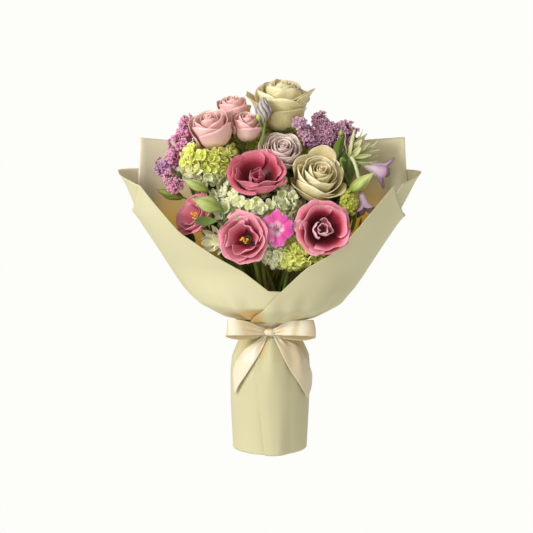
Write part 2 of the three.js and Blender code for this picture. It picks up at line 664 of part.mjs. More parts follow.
/** What grows on each spray's stem, in the stem's own node. */
const GROWTH = {
  bud_spray: (top) => [
    tube([top, point(-64, -55, 322), point(-77, -51, 342)], [2, 1.8, 1.6], 4),
    bud(point(-77, -50, 342), point(-109, -55, 358), 12),
    tube([top, point(-56, -66, 312), point(-60, -75, 322)], [2, 1.8, 1.6], 4),
    bud(point(-59, -76, 322), point(-97, -85, 337), 19, 6),
    tube([top, point(-84, -24, 318), point(-112, -15, 331)], [2, 1.8, 1.6], 4),
    bud(point(-111, -15, 330), point(-146, -19, 341), 14),
    leaf(point(-58, -56, 306), point(-44, -76, 322), 13, point(0, 0.4, 1)),
    leaf(point(-59, -58, 304), point(-70, -92, 303), 12, point(0.3, 0, 1)),
  ],
  lime_bud: (top) => [bud(top.clone().add(point(-1, 1, -1)), point(131, -60, 367), 15, 6)],
  striped_bud: (top) => [bud(top.clone().add(point(0, 0, -2)), point(-9, -20, 458), 19, 7)],
  alstroemeria: (top) => [
    tube([top.clone().add(point(0, 0, -2)), point(112, -27, 366), point(115.4, -25.4, 374.3),
      point(117.5, -25.9, 374.1)], [1.8, 1.5, 1.3, 1.3], 4),
    tube([top.clone().add(point(0, 0, -2)), point(112.2, -37, 355), point(112.3, -42.4, 350.4),
      point(112.9, -43.8, 346.5)], [1.8, 1.5, 1.3, 1.3], 4),
  ],
  leaf_spray: (top) => [
    leaf(top.clone().add(point(-1, 0, -2)), point(92, -24, 409), 13, point(1, 0.3, 0)),
    leaf(top.clone().add(point(0, 1, -4)), point(66, 2, 398), 12, point(0.3, 0.9, 0)),
    tube([top, point(87, -14, 398), point(90, -12, 410)], [1.8, 1.5, 1.2], 4),
    bud(point(90, -12, 408), point(91, -12, 418), 6),
  ],
  foliage_left: (top, points) => leafyTop(points, 3, 42, 0.3),
  foliage_right: (top, points) => leafyTop(points, 3, 42, 1.1),
};

/** Leaves up the end of a stem, each a golden turn on from the one below. */
function leafyTop(points, count, length, start) {
  const axis = points[0].clone().sub(points[1]).normalize();
  const turn = new THREE.Quaternion().setFromUnitVectors(UP, axis);
  return Array.from({ length: count }, (_, index) => {
    const angle = start + index * GOLDEN;
    const lean = index ? 0.9 : 0.1;
    const way = point(Math.cos(angle) * lean, Math.sin(angle) * lean, 1).normalize().applyQuaternion(turn);
    const side = point(-Math.sin(angle), Math.cos(angle), 0).applyQuaternion(turn);
    const from = points[0].clone().lerp(points[2], (index * 0.9) / count).addScaledVector(way, -1);
    return leaf(from, from.clone().addScaledVector(way, length), length * 0.42, side);
  });
}

/** Slim bracts that fan out of one point. */
function bractFan(base, axis) {
  const pieces = spread(12, axis, 0.42).map((way, index) => {
    const length = 36 + 8 * (index % 2);
    const places = [2, length * 0.6, length].map((far) => base.clone().addScaledVector(way, far));
    return tube(places, [0.8, 2.8, 0.4], 3);
  });
  return fuse([new THREE.IcosahedronGeometry(4.5, 0).translate(...base.toArray()), ...pieces]);
}

/** An alstroemeria: six narrow petals in two rings round a slim tube. */
function alstroemeria(radius, height) {
  const bloom = { radius, height };
  const profile = scaled([[0, 0.16, 0.1], [0.5, 0.42, 0.6], [1, 1, 1]], bloom);
  const form = { halfWidth: degToRad(27), profile, columns: 1, rows: 2, rounding: 0 };
  const wide = 0.26 * radius;
  const neck = [[0, 0], [3, 0], [wide, 0.12 * height], [wide, 0.3 * height], [0, 0.36 * height]];
  return fuse([
    lathe(neck, 6),
    ...whorl({ count: 3, start: 0.2, ...form }),
    ...whorl({ count: 3, start: 0.2 + Math.PI / 3, ...form }),
  ]);
}

// ---------------------------------------------------------------- the paper wrap
const SHELL_COLUMNS = 16;

/** Depth of the funnel over its half width: round at the neck, flatter above, deeper in front than behind. */
function depthShare(angle, z) {
  const open = lerp(BACK_DEPTH, FRONT_DEPTH, 0.5 + 0.5 * Math.cos(angle));
  return lerp(1, open, smoothstep(z, 165, 245));
}

/** A place on a paper layer: angle 0 is the front; inset is how far inside the outermost layer it lies. */
function onFunnel(angle, z, inset) {
  const [low, high] = [read(FUNNEL, z - 3)[0], read(FUNNEL, z + 3)[0]];
  const [rise, run] = [z < FUNNEL[0][0] + 3 || z > FUNNEL.at(-1)[0] - 3 ? 3 : 6, high - low];
  const slope = Math.hypot(rise, run);
  const half = read(FUNNEL, z)[0] - (inset * rise) / slope;
  const height = z + (inset * run) / slope;
  const x = half * Math.sin(angle) + FUNNEL_LEAN * smoothstep(z, 172, 206) * (1 - smoothstep(z, 290, 350));
  return point(x, -half * depthShare(angle, z) * Math.cos(angle), height);
}

/** One whole layer of the funnel as a thin closed shell. */
function funnelShell(layer) {
  const heights = FUNNEL.map(([z]) => z);
  const wall = (offset) => heights.map((z) => {
    const inset = layer * lerp(LAYER_STEP, LAYER_LOOSE, smoothstep(z, 166, 196)) + offset;
    return Array.from({ length: SHELL_COLUMNS }, (_, column) => {
      return onFunnel((-column / SHELL_COLUMNS) * 2 * Math.PI, z, inset);
    });
  });
  const [outer, inner] = [wall(-PAPER / 2), wall(PAPER / 2)];
  const rings = [...outer, ...inner.reverse()];
  const triangles = [];
  rings.forEach((_, ringIndex) => {
    const nextRing = (ringIndex + 1) % rings.length;
    for (let side = 0; side < SHELL_COLUMNS; side += 1) {
      const nextSide = (side + 1) % SHELL_COLUMNS;
      const [a, b] = [ringIndex * SHELL_COLUMNS + side, ringIndex * SHELL_COLUMNS + nextSide];
      const [c, d] = [nextRing * SHELL_COLUMNS + nextSide, nextRing * SHELL_COLUMNS + side];
      triangles.push([a, c, b], [a, d, c]);
    }
  });
  return solid(meshOf(rings.flat(), triangles));
}

const REACH = 400; // further than any sheet

/** A block whose outline is drawn in X and Z, from one depth to another. */
function block(outline, from, to) {
  const drawn = new THREE.Shape(outline.map(([x, z]) => new THREE.Vector2(x, z)));
  const extruded = new THREE.ExtrudeGeometry(drawn, { depth: to - from, bevelEnabled: false });
  return solid(extruded.rotateX(Math.PI / 2).translate(0, to, 0));
}

/** A paper sheet: a layer of the funnel cut to its outline in front of and behind the given depth. */
function paperSheet({ layer, front, back, split }) {
  const cutter = block(front, -REACH, split).add(block(back, split, REACH));
  return largest(funnelShell(layer).intersect(cutter));
}

// Outlines in X and Z. front is the part nearer than split, back the part beyond it.
const SHEETS = {
  wrap_back_tall: { layer: 3, split: -10,
    front: [[-178, 140], [178, 140], [178, 330], [60, 175], [-60, 175], [-178, 330]],
    back: [[-171, 140], [177, 140], [177, 404], [120, 398], [40, 390], [-40, 390], [-120, 397],
      [-171, 403]] },
  wrap_back_wide: { layer: 2, split: 0,
    front: [[-205, 140], [205, 140], [205, 366], [190, 362], [158, 350], [120, 270], [50, 205], [-50, 205],
      [-120, 270], [-160, 350], [-195, 363], [-205, 366]],
    back: [[-205, 140], [205, 140], [205, 364], [165, 362], [60, 356], [-60, 356], [-165, 363],
      [-205, 366]] },
  wrap_front_left: { layer: 1, split: 0,
    front: [[40, 140], [30, 180], [16, 219], [-2, 220], [-34, 244], [-69, 264], [-112, 294], [-149, 337],
      [-161, 352], [-166, 338], [-172, 320], [-182, 306], [-182, 140]],
    back: [[40, 140], [20, 178], [-30, 200], [-182, 306], [-182, 140]] },
  wrap_front_right: { layer: 0, split: 0,
    front: [[-40, 140], [-36, 157], [-20, 184], [9, 215], [46, 249], [72, 264], [99, 289], [136, 334],
      [152, 353], [157, 336], [166, 316], [178, 302], [178, 140]],
    back: [[-40, 140], [-20, 178], [40, 200], [178, 302], [178, 140]] },
};

const FOOT_TURNS = [10, -378]; // degrees round the foot from the inner edge of its sheet to the outer one
const FOOT_LAP = 1.7; // how far the lapping edge stands out

/** The paper rolled round the stems below the tie, lapping over itself in front, with its rim cut level. */
function footSheet() {
  const geometry = sheet((u, v) => {
    const z = read(FOOT.map(([height], index) => [index / (FOOT.length - 1), height]), v)[0];
    const end = FOOT_TURNS[1] + 13 * (1 - z / FOOT.at(-1)[0]);
    const turned = lerp(FOOT_TURNS[0], end, u);
    const lap = FOOT_LAP * smoothstep(-turned, 325, 345);
    const flare = 2 * smoothstep(-turned, 350, 370) * (1 - smoothstep(z, 0, 40));
    const radius = read(FOOT, z)[0] + lap + flare;
    return point(radius * Math.sin(degToRad(turned)), -radius * Math.cos(degToRad(turned)), z);
  }, 16, FOOT.length - 1, PAPER);
  const places = geometry.attributes.position;
  for (let index = 0; index < places.count; index += 1) {
    if (Math.abs(places.getZ(index)) < PAPER / 2) places.setZ(index, 0);
  }
  return geometry;
}

// ---------------------------------------------------------------- ribbon and tie
const BAND_RADIUS = 33; // inside of the ribbon round the neck
const RIBBON = 1.0; // thickness of the ribbon

/** A flat ring about +Z that clears a circle of the inner radius. */
function band(clearRadius, outer, low, high, sides) {
  const inner = clearRadius / Math.cos(Math.PI / sides);
  const outline = [[inner, low], [outer, low], [outer, high], [inner, high], [inner, low]];
  return lathe(outline, sides);
}

/** A strip of ribbon along rows of [x, y, z, width]; ways gives the direction of its width along it. */
function strip(rows, count, ways) {
  const keyed = rows.map((row, index) => [index / (rows.length - 1), ...row]);
  return sheet((u, v) => {
    const [x, y, z, width] = read(keyed, v);
    const way = ways(v);
    return point(x, y, z).addScaledVector(way, (u - 0.5) * width);
  }, 1, count, RIBBON);
}

/** The bow: band, knot, two loops and two tails of one satin ribbon. */
function bow() {
  const upright = () => point(0, 0.1, 1).normalize();
  const loops = [-1, 1].map((side) => strip([[side * 3, -37, 163, 9], [side * 16, -48, 163.5, 15],
    [side * 32, -56, 165, 21], [side * 47, -58.5, 166, 22.5], [side * 56, -53, 165.5, 22.5],
    [side * 50, -47, 164, 22], [side * 32, -45, 162, 19], [side * 14, -41, 161, 12],
    [side * 3, -36, 162, 9]], 8, upright));
  const onFoot = (angle, z) => {
    const radius = read(FOOT, z)[0] + FOOT_LAP + 3.3;
    return [radius * Math.sin(angle), -radius * Math.cos(angle), z];
  };
  const tail = (turns) => {
    const rows = turns.map(([angle, z, width]) => [...onFoot(degToRad(angle), z), width]);
    const angles = turns.map(([angle], index) => [index / (turns.length - 1), degToRad(angle)]);
    return strip(rows, 6, (v) => {
      const [angle] = read(angles, v);
      return point(Math.cos(angle), Math.sin(angle), 0.35 * Math.sign(angle)).normalize();
    });
  };
  const left = tail([[-4, 160, 10], [-12, 150, 14], [-27, 138, 19], [-40, 122, 22], [-48, 106, 22],
    [-51, 84, 18]]);
  const right = tail([[3, 160, 10], [17, 150, 14], [31, 138, 19], [43, 121, 23], [54, 103, 26],
    [69, 84, 24]]);
  const knot = new THREE.IcosahedronGeometry(1, 1).scale(8, 5.5, 6.5).translate(-1, -38.2, 161.5);
  const waist = band(BAND_RADIUS, BAND_RADIUS + RIBBON + 1.4, 157, 168, 12);
  return fuse([waist, knot, ...loops, left, right]);
}

// ---------------------------------------------------------------- the bouquet
const COARSE = 0.5; // slivers merged in heads of small florets
const bouquet = new THREE.Group();

/** Adds a named piece to the bouquet. */
function add(name, geometry, material, position = point(0, 0, 0), turn = new THREE.Quaternion()) {
  const mesh = new THREE.Mesh(geometry, material);
  mesh.name = name;
  mesh.position.copy(position);
  mesh.quaternion.copy(turn);
  bouquet.add(mesh);
}

Object.entries(SHEETS).forEach(([name, form]) => add(name, shape(paperSheet(form), 0.1), COLOURS.paper));
add('wrap_foot', footSheet(), COLOURS.paper);
add('ribbon_bow', shape(bow()), COLOURS.satin);
const fromMiddle = stems.map(({ points }) => Math.hypot(points.at(-2).x, points.at(-2).y));
const bunchRadius = Math.max(...fromMiddle) + STEM_RADIUS + 3 * GAP;
const tie = band(bunchRadius, TIE_RADIUS, TIE_Z - TIE_WIDTH / 2, TIE_Z + TIE_WIDTH / 2, 12);
add('stem_tie', tie, COLOURS.twine);

CUPS.forEach((bloom) => {
  const { position, turn } = pose(bloom);
  add(bloom.name, shape(KINDS[bloom.kind](bloom)), COLOURS[bloom.colour], position, turn);
});
HEADS.forEach((head) => add(head.name, shape(hydrangea(head, stems), COARSE), COLOURS[head.colour]));
STATICE.forEach((spray) => add(spray.name, shape(statice(spray, stems), COARSE), COLOURS[spray.colour]));

const fan = stems.find(({ name }) => name === 'bract_fan');
const fanBase = fan.points[0].clone().addScaledVector(fan.axis, 4.4);
add('bract_fan', shape(bractFan(fanBase, fan.axis)), COLOURS.bract);
const facing = (axis) => new THREE.Quaternion().setFromUnitVectors(UP, point(...axis).normalize());
const upper = shape(alstroemeria(22, 36));
const lower = shape(alstroemeria(16, 34));
add('alstroemeria_upper', upper, COLOURS.mauvePetal, point(118, -26, 374), facing([0.88, -0.2, -0.3]));
add('alstroemeria_lower', lower, COLOURS.mauvePetal, point(113, -44, 346), facing([0.22, -0.36, -0.9]));

stems.forEach(({ name, geometry, points }) => {
  const growth = GROWTH[name];
  const whole = growth ? shape(fuse([geometry, ...growth(points[0], points)])) : geometry;
  add(`${name}_stem`, whole, COLOURS.stem);
});

export default bouquet;
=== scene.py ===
# %% [markdown]
# # A hand-tied mixed bouquet, dressed for the camera
# The CAD model already fixes where every flower, sheet of paper and stem sits. This lesson dresses it:
# each plain solid is replaced by fine surfaces in the same place. Petals could be sculpted one by one, but
# a bouquet has hundreds of them. Nearly every shape here is a surface worked out with numpy from two
# numbers, u across and v along, because petals, paper and ribbon are all thin sheets, and a formula for a
# sheet is easy to bend, ruffle and repeat.

import math

import bmesh
import bpy
import numpy as np
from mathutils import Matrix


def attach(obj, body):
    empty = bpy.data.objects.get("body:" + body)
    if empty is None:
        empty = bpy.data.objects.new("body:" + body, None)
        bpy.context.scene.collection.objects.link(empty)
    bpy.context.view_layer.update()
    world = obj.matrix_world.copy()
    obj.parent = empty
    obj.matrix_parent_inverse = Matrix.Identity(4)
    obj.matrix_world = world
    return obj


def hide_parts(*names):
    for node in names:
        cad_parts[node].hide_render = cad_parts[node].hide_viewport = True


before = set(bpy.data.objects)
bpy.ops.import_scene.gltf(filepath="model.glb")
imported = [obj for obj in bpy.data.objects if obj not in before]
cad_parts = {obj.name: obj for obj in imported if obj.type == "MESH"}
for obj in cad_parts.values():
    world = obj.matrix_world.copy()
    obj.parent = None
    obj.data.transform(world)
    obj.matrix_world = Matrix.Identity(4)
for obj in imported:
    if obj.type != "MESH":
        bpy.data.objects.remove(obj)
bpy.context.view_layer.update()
MM = 0.001  # the shapes are worked out in millimetres
WELD = 1e-7  # metres: points closer than this become one

# %% [markdown]
# ## Grids, patches and pieces
# A patch is one sheet: a grid of points and the four-sided faces between them. A piece joins many patches
# into one mesh, so that a rose of twenty petals is one object. Every patch also carries a UV map (across,
# along) and one number called tint, which a material can read to make each petal a little different. Loops
# over vertices would be slow, so numpy works on all points of a patch at once.

# %% Patches
def smooth(x, low, high):
    """0 below low, 1 above high, and an S-shaped rise between them."""
    t = np.clip((x - low) / (high - low), 0, 1)
    return t * t * (3 - 2 * t)


def blend(a, b, t):
    """The value a share t of the way from a to b."""
    return a + (b - a) * t


def grid(columns, rows):
    """u across and v along, both from 0 to 1, as arrays of shape (columns + 1, rows + 1)."""
    return np.meshgrid(np.linspace(0, 1, columns + 1), np.linspace(0, 1, rows + 1), indexing="ij")


def patch(points, tint=0.5, uv=None):
    """A grid of points of shape (m, n, 3) as flat arrays: points, faces, uv and tint. A face joins four
    neighbours of the grid. uv is (across, along), and tint is one number for all points or one for each."""
    m, n = points.shape[:2]
    a = (np.arange(m - 1)[:, None] * n + np.arange(n - 1)[None, :]).ravel()
    faces = np.stack([a, a + n, a + n + 1, a + 1], axis=1)
    if uv is None:
        u, v = grid(m - 1, n - 1)
        uv = np.stack([u, v], axis=-1)
    tints = np.array(np.broadcast_to(tint, (m, n)), float)
    return points.reshape(-1, 3), faces, uv.reshape(-1, 2), tints.ravel()


def xyz(x, y, z):
    """Three arrays side by side as points."""
    return np.stack(np.broadcast_arrays(x, y, z), axis=-1)


def reshaped(patches, change):
    """The same patches, with their points put through a function."""
    return [(change(points), faces, uv, tint) for points, faces, uv, tint in patches]


def placed(patches, turn, place):
    """The same patches turned by a 3 x 3 matrix and then moved."""
    return reshaped(patches, lambda points: points @ turn.T + place)


def frame_along(axis):
    """The shortest turn that takes +Z to an axis, as a 3 x 3 matrix (Rodrigues' formula)."""
    a = np.asarray(axis, float)
    a = a / np.linalg.norm(a)
    cross = np.array([-a[1], a[0], 0.0])
    k = np.array([[0, 0, cross[1]], [0, 0, -cross[0]], [-cross[1], cross[0], 0]])
    return np.eye(3) + k + k @ k / (1 + a[2])


print("a patch of 3 x 2 faces has", len(patch(xyz(*grid(3, 2), 0))[0]), "points")

# %% [markdown]
# One function turns patches into a Blender object. The points are in millimetres, so they are scaled to
# metres here and nowhere else. Thin sheets get a Solidify modifier, which gives them a real thickness and
# closes their edges. A second layer of points would do the same, but the modifier can also give the inner
# side a finish of its own, and a petal is often darker inside than outside; in the roses part of that
# darkness is painted shade.

# %% Pieces
made = {}


def piece(name, patches, material, thickness=0.0, nodes=(), inside=None):
    """Joins patches into one smooth mesh in the shared frame, and hides the CAD nodes that it stands for.
    inside is a second finish, for the side of a sheet that faces the flower's heart or the stems."""
    starts = np.cumsum([0] + [len(p) for p, _, _, _ in patches])
    points = np.concatenate([p for p, _, _, _ in patches]) * MM
    faces = np.concatenate([f + start for (_, f, _, _), start in zip(patches, starts)])
    uv = np.concatenate([w for _, _, w, _ in patches])
    tint = np.concatenate([t for _, _, _, t in patches])
    mesh = bpy.data.meshes.new(name)
    mesh.vertices.add(len(points))
    mesh.vertices.foreach_set("co", points.astype(np.float32).ravel())
    mesh.loops.add(faces.size)
    mesh.loops.foreach_set("vertex_index", faces.astype(np.int32).ravel())
    mesh.polygons.add(len(faces))
    mesh.polygons.foreach_set("loop_start", np.arange(0, faces.size, 4, dtype=np.int32))
    mesh.polygons.foreach_set("use_smooth", np.ones(len(faces), dtype=bool))
    layer = mesh.uv_layers.new(name="UVMap")
    layer.uv.foreach_set("vector", uv[faces.ravel()].astype(np.float32).ravel())
    mesh.attributes.new("tint", "FLOAT", "POINT").data.foreach_set("value", tint.astype(np.float32))
    mesh.update(calc_edges=True)
    weld = bmesh.new()
    weld.from_mesh(mesh)
    bmesh.ops.remove_doubles(weld, verts=weld.verts, dist=WELD)
    weld.to_mesh(mesh)
    weld.free()
    mesh.materials.append(material)
    obj = bpy.data.objects.new(name, mesh)
    bpy.context.scene.collection.objects.link(obj)
    if thickness:
        wall = obj.modifiers.new("wall", "SOLIDIFY")
        wall.thickness = thickness * MM
        wall.offset = 0
        if inside:
            mesh.materials.append(inside)
            wall.material_offset = wall.material_offset_rim = 1
    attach(obj, "root")
    if nodes:
        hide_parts(*nodes)
    made[name] = len(faces)
    print(name, len(faces), "faces")


# %% [markdown]
# ## Finishes
# Petals, leaves and paper are all lit from many sides, so colour does most of the work. Photographs of
# petals could be wrapped round them, but noise needs no pictures and never repeats. The first node group
# makes fine veins: stretched noise in the sheet's own UV map, which runs from root to rim. The second makes
# soft blotches and a fine tooth. Each puts out masks only, and each material keeps its own shader.

# %% Node groups
def socket(group, name, way, kind, value=None):
    """Adds a named socket to a node group."""
    made_socket = group.interface.new_socket(name=name, in_out=way, socket_type=kind)
    if value is not None:
        made_socket.default_value = value


def vein_group():
    """Noise stretched along v, many times finer across than along: the veins of a petal or a leaf."""
    group = bpy.data.node_groups.new("veins", "ShaderNodeTree")
    socket(group, "Across", "INPUT", "NodeSocketFloat", 30.0)
    socket(group, "Along", "INPUT", "NodeSocketFloat", 2.0)
    socket(group, "Mask", "OUTPUT", "NodeSocketFloat")
    nodes, links = group.nodes, group.links
    into, out = nodes.new("NodeGroupInput"), nodes.new("NodeGroupOutput")
    uv = nodes.new("ShaderNodeUVMap")
    uv.uv_map = "UVMap"
    scale = nodes.new("ShaderNodeCombineXYZ")
    stretch = nodes.new("ShaderNodeVectorMath")
    stretch.operation = "MULTIPLY"
    noise = nodes.new("ShaderNodeTexNoise")
    noise.inputs["Scale"].default_value = 1.0
    noise.inputs["Detail"].default_value = 3.0
    links.new(into.outputs["Across"], scale.inputs["X"])
    links.new(into.outputs["Along"], scale.inputs["Y"])
    links.new(uv.outputs["UV"], stretch.inputs[0])
    links.new(scale.outputs["Vector"], stretch.inputs[1])
    links.new(stretch.outputs["Vector"], noise.inputs["Vector"])
    links.new(noise.outputs["Fac"], out.inputs["Mask"])
    return group


def mottle_group():
    """Two sizes of noise in the object's own space: the soft mottling and the tooth of paper or tissue."""
    group = bpy.data.node_groups.new("mottle", "ShaderNodeTree")
    socket(group, "Large", "INPUT", "NodeSocketFloat", 12.0)
    socket(group, "Fine", "INPUT", "NodeSocketFloat", 900.0)
    socket(group, "Broad", "OUTPUT", "NodeSocketFloat")
    socket(group, "Tooth", "OUTPUT", "NodeSocketFloat")
    nodes, links = group.nodes, group.links
    into, out = nodes.new("NodeGroupInput"), nodes.new("NodeGroupOutput")
    place = nodes.new("ShaderNodeTexCoord")
    for source, target, detail in (("Large", "Broad", 2.0), ("Fine", "Tooth", 1.0)):
        noise = nodes.new("ShaderNodeTexNoise")
        noise.inputs["Detail"].default_value = detail
        links.new(place.outputs["Object"], noise.inputs["Vector"])
        links.new(into.outputs[source], noise.inputs["Scale"])
        links.new(noise.outputs["Fac"], out.inputs[target])
    return group


VEINS, MOTTLE = vein_group(), mottle_group()
print("node groups", VEINS.name, MOTTLE.name)

# %% [markdown]
# Colours are given as they read on a screen, 0 to 255, and turned to the linear light that Blender mixes.
# The helpers below each add one node or two to a material and give back a socket, so that a finish reads as
# a short list of steps.

# %% Shader helpers
def linear(rgb):
    """A screen colour of 0 to 255 as linear light with alpha 1."""
    c = np.asarray(rgb, float) / 255
    c = np.where(c <= 0.04045, c / 12.92, ((c + 0.055) / 1.055) ** 2.4)
    return (*map(float, c), 1.0)


def new_material(name):
    """An empty node material with its shader: (material, nodes, links, shader)."""
    material = bpy.data.materials.new(name)
    material.use_nodes = True
    nodes, links = material.node_tree.nodes, material.node_tree.links
    return material, nodes, links, nodes["Principled BSDF"]


def set_values(node, values):
    """Sets a node's unlinked inputs from a table of names and values."""
    for name, value in values.items():
        node.inputs[name].default_value = value


def along_sheet(nodes, links):
    """The place along a sheet: v of its UV map."""
    uv = nodes.new("ShaderNodeUVMap")
    uv.uv_map = "UVMap"
    split = nodes.new("ShaderNodeSeparateXYZ")
    links.new(uv.outputs["UV"], split.inputs[0])
    return split.outputs["Y"]


def tint_of(nodes):
    """The tint that each patch carries."""
    attribute = nodes.new("ShaderNodeAttribute")
    attribute.attribute_name = "tint"
    return attribute.outputs["Fac"]


def ramp(nodes, links, stops, factor):
    """The colour at a factor between (place, colour) stops."""
    node = nodes.new("ShaderNodeValToRGB")
    elements = node.color_ramp.elements
    for index, (place, colour) in enumerate(stops):
        stop = elements[index] if index < 2 else elements.new(place)
        stop.position = place
        stop.color = linear(colour)
    links.new(factor, node.inputs["Fac"])
    return node.outputs["Color"]


def use_group(nodes, tree, values):
    """A node group placed in a material, with its own input values."""
    node = nodes.new("ShaderNodeGroup")
    node.node_tree = tree
    set_values(node, values)
    return node


def raised(nodes, links, shader, height, strength, distance):
    """Bump: the surface seems raised by up to a distance in metres where the height is near 1."""
    node = nodes.new("ShaderNodeBump")
    set_values(node, {"Strength": strength, "Distance": distance})
    links.new(height, node.inputs["Height"])
    links.new(node.outputs["Normal"], shader.inputs["Normal"])


def mix(nodes, links, kind, a, b, factor):
    """A colour Mix node; a, b and factor are sockets or plain values. Gives its result socket."""
    node = nodes.new("ShaderNodeMix")
    node.data_type = "RGBA"
    node.blend_type = kind
    for target, value in ((node.inputs[6], a), (node.inputs[7], b), (node.inputs[0], factor)):
        if isinstance(value, bpy.types.NodeSocket):
            links.new(value, target)
        else:
            target.default_value = value
    return node.outputs[2]


def scaled(nodes, links, value, times, plus=0.0):
    """value * times + plus, kept between 0 and 1."""
    node = nodes.new("ShaderNodeMath")
    node.operation = "MULTIPLY_ADD"
    node.use_clamp = True
    links.new(value, node.inputs[0])
    node.inputs[1].default_value = times
    node.inputs[2].default_value = plus
    return node.outputs[0]


print("white is", linear((255, 255, 255)), "and mid grey", round(linear((128, 128, 128))[0], 3))

# %% [markdown]
# A petal is thin living tissue. It could be one flat colour with a rough shader, but it would look like
# plastic. Its colour runs from its root to its rim, so the finish takes a list of stops along v. Each
# petal's tint slides it towards a second colour, the veins darken it a little, and a touch of subsurface
# light makes it glow where light comes through.

# %% Petal and leaf finish
FINISH = {}


def tissue(name, stops, other, veins=(60, 1.2), dark=0.1, glow=0.16, rough=0.5, way="MIX", scatter=0.004):
    """A petal or leaf: stops colour it along v, and its tint slides it to the other colour, or multiplies it
    by that colour. dark is the veins' strength, and scatter how many metres light spreads inside it."""
    material, nodes, links, shader = new_material(name)
    colour = ramp(nodes, links, stops, along_sheet(nodes, links))
    colour = mix(nodes, links, way, colour, linear(other), tint_of(nodes))
    vein = use_group(nodes, VEINS, {"Across": veins[0], "Along": veins[1]}).outputs["Mask"]
    streak = scaled(nodes, links, vein, 2.4, -0.75)
    colour = mix(nodes, links, "MULTIPLY", colour, linear([255 * (1 - dark)] * 3), streak)
    broad = use_group(nodes, MOTTLE, {"Large": 55.0}).outputs["Broad"]
    blotch = scaled(nodes, links, broad, 2.0, -0.6)
    colour = mix(nodes, links, "SOFT_LIGHT", colour, linear((150, 150, 150)), blotch)
    links.new(colour, shader.inputs["Base Color"])
    raised(nodes, links, shader, vein, 0.12, 0.0006)
    set_values(shader, {
        "Roughness": rough, "Subsurface Weight": glow, "Subsurface Radius": (1.0, 0.7, 0.5),
        "Subsurface Scale": scatter, "Sheen Weight": 0.15, "Sheen Roughness": 0.5})
    return material


def add_finishes(looks):
    """Makes one tissue for each row of a table: its stops, its other colour, and what else differs."""
    for name, (stops, other, rest) in looks.items():
        FINISH[name] = tissue(name, stops, other, **rest)
    print("finishes", ", ".join(looks))


# %% [markdown]
# A rose petal is pale at its rim and greener or yellower at its root. Inside it is warmer and darker, partly
# in its own colour and partly as painted shade and painted warm light, where light goes from petal to petal
# before it leaves. So each rose has two finishes, one for each side of its petals.

# %% Rose colours
add_finishes({
    "white_rose": ([(0, (160, 174, 80)), (0.25, (218, 212, 140)), (0.7, (242, 233, 184)),
                    (1, (250, 244, 210))], (218, 204, 140), dict(dark=0.06)),
    # the inside finishes hold painted shade: their darker, warmer roots are partly the shade deep in the
    # bloom
    "white_rose_inside": ([(0, (178, 128, 74)), (0.4, (224, 196, 140)), (0.85, (248, 238, 196)),
                           (1, (254, 248, 220))], (216, 192, 134), dict(dark=0.05)),
    "lilac_rose": ([(0, (196, 180, 122)), (0.5, (228, 208, 188)), (0.9, (246, 230, 218)),
                    (1, (236, 216, 214))], (222, 196, 190), dict(dark=0.06)),
    "lilac_rose_inside": ([(0, (152, 116, 98)), (0.5, (218, 192, 176)), (1, (250, 238, 228))],
                          (222, 190, 188), dict(dark=0.06)),
    "dusky_rose": ([(0, (226, 216, 146)), (0.3, (248, 222, 182)), (0.7, (252, 214, 204)),
                    (1, (250, 202, 204))], (246, 194, 188), dict(dark=0.07)),
    "dusky_rose_inside": ([(0, (180, 92, 88)), (0.4, (228, 152, 150)), (0.85, (248, 200, 200)),
                           (1, (255, 228, 222))], (246, 194, 180), dict(dark=0.07)),
})

# %% [markdown]
# Lisianthus petals go from almost black red in the throat to warm pink at the rim. Their tint multiplies
# instead of mixing, so that one number can make a whole bloom deeper. A fully open bloom is dark only near
# its root, the bowl of a half open one is dark to its middle, and the rolled petals in its throat are paler.

# %% Lisianthus colours
DEEP_ROSE = (210, 96, 136)
add_finishes({
    "lisianthus": ([(0, (176, 190, 108)), (0.3, (238, 196, 184)), (0.7, (250, 166, 184)),
                    (0.95, (255, 180, 198)), (1, (255, 198, 210))], DEEP_ROSE,
                   dict(way="MULTIPLY", dark=0.12)),
    "lisianthus_inside": ([(0, (40, 2, 12)), (0.2, (116, 8, 38)), (0.34, (206, 68, 104)),
                           (0.54, (246, 136, 162)), (0.93, (255, 176, 194)), (1, (255, 194, 206))],
                          DEEP_ROSE, dict(way="MULTIPLY", dark=0.2)),
    "lisianthus_bowl": ([(0, (56, 4, 16)), (0.4, (130, 12, 40)), (0.58, (182, 40, 74)),
                         (0.76, (246, 134, 156)), (0.93, (255, 174, 192)), (1, (255, 194, 206))],
                        DEEP_ROSE, dict(way="MULTIPLY", dark=0.18)),
    "lisianthus_heart": ([(0, (110, 14, 40)), (0.5, (222, 106, 134)), (0.9, (250, 176, 190)),
                          (1, (254, 216, 220))], DEEP_ROSE, dict(way="MULTIPLY", dark=0.12)),
    "lisianthus_curl": ([(0, (196, 84, 116)), (0.3, (238, 150, 176)), (0.8, (252, 200, 212)),
                         (1, (255, 226, 230))], DEEP_ROSE, dict(way="MULTIPLY", dark=0.1)),
})

# %% [markdown]
# The small florets would look grey if light couldn't pass through them, since each one shades the next.
# They get more subsurface light, which spreads further, than the large petals.

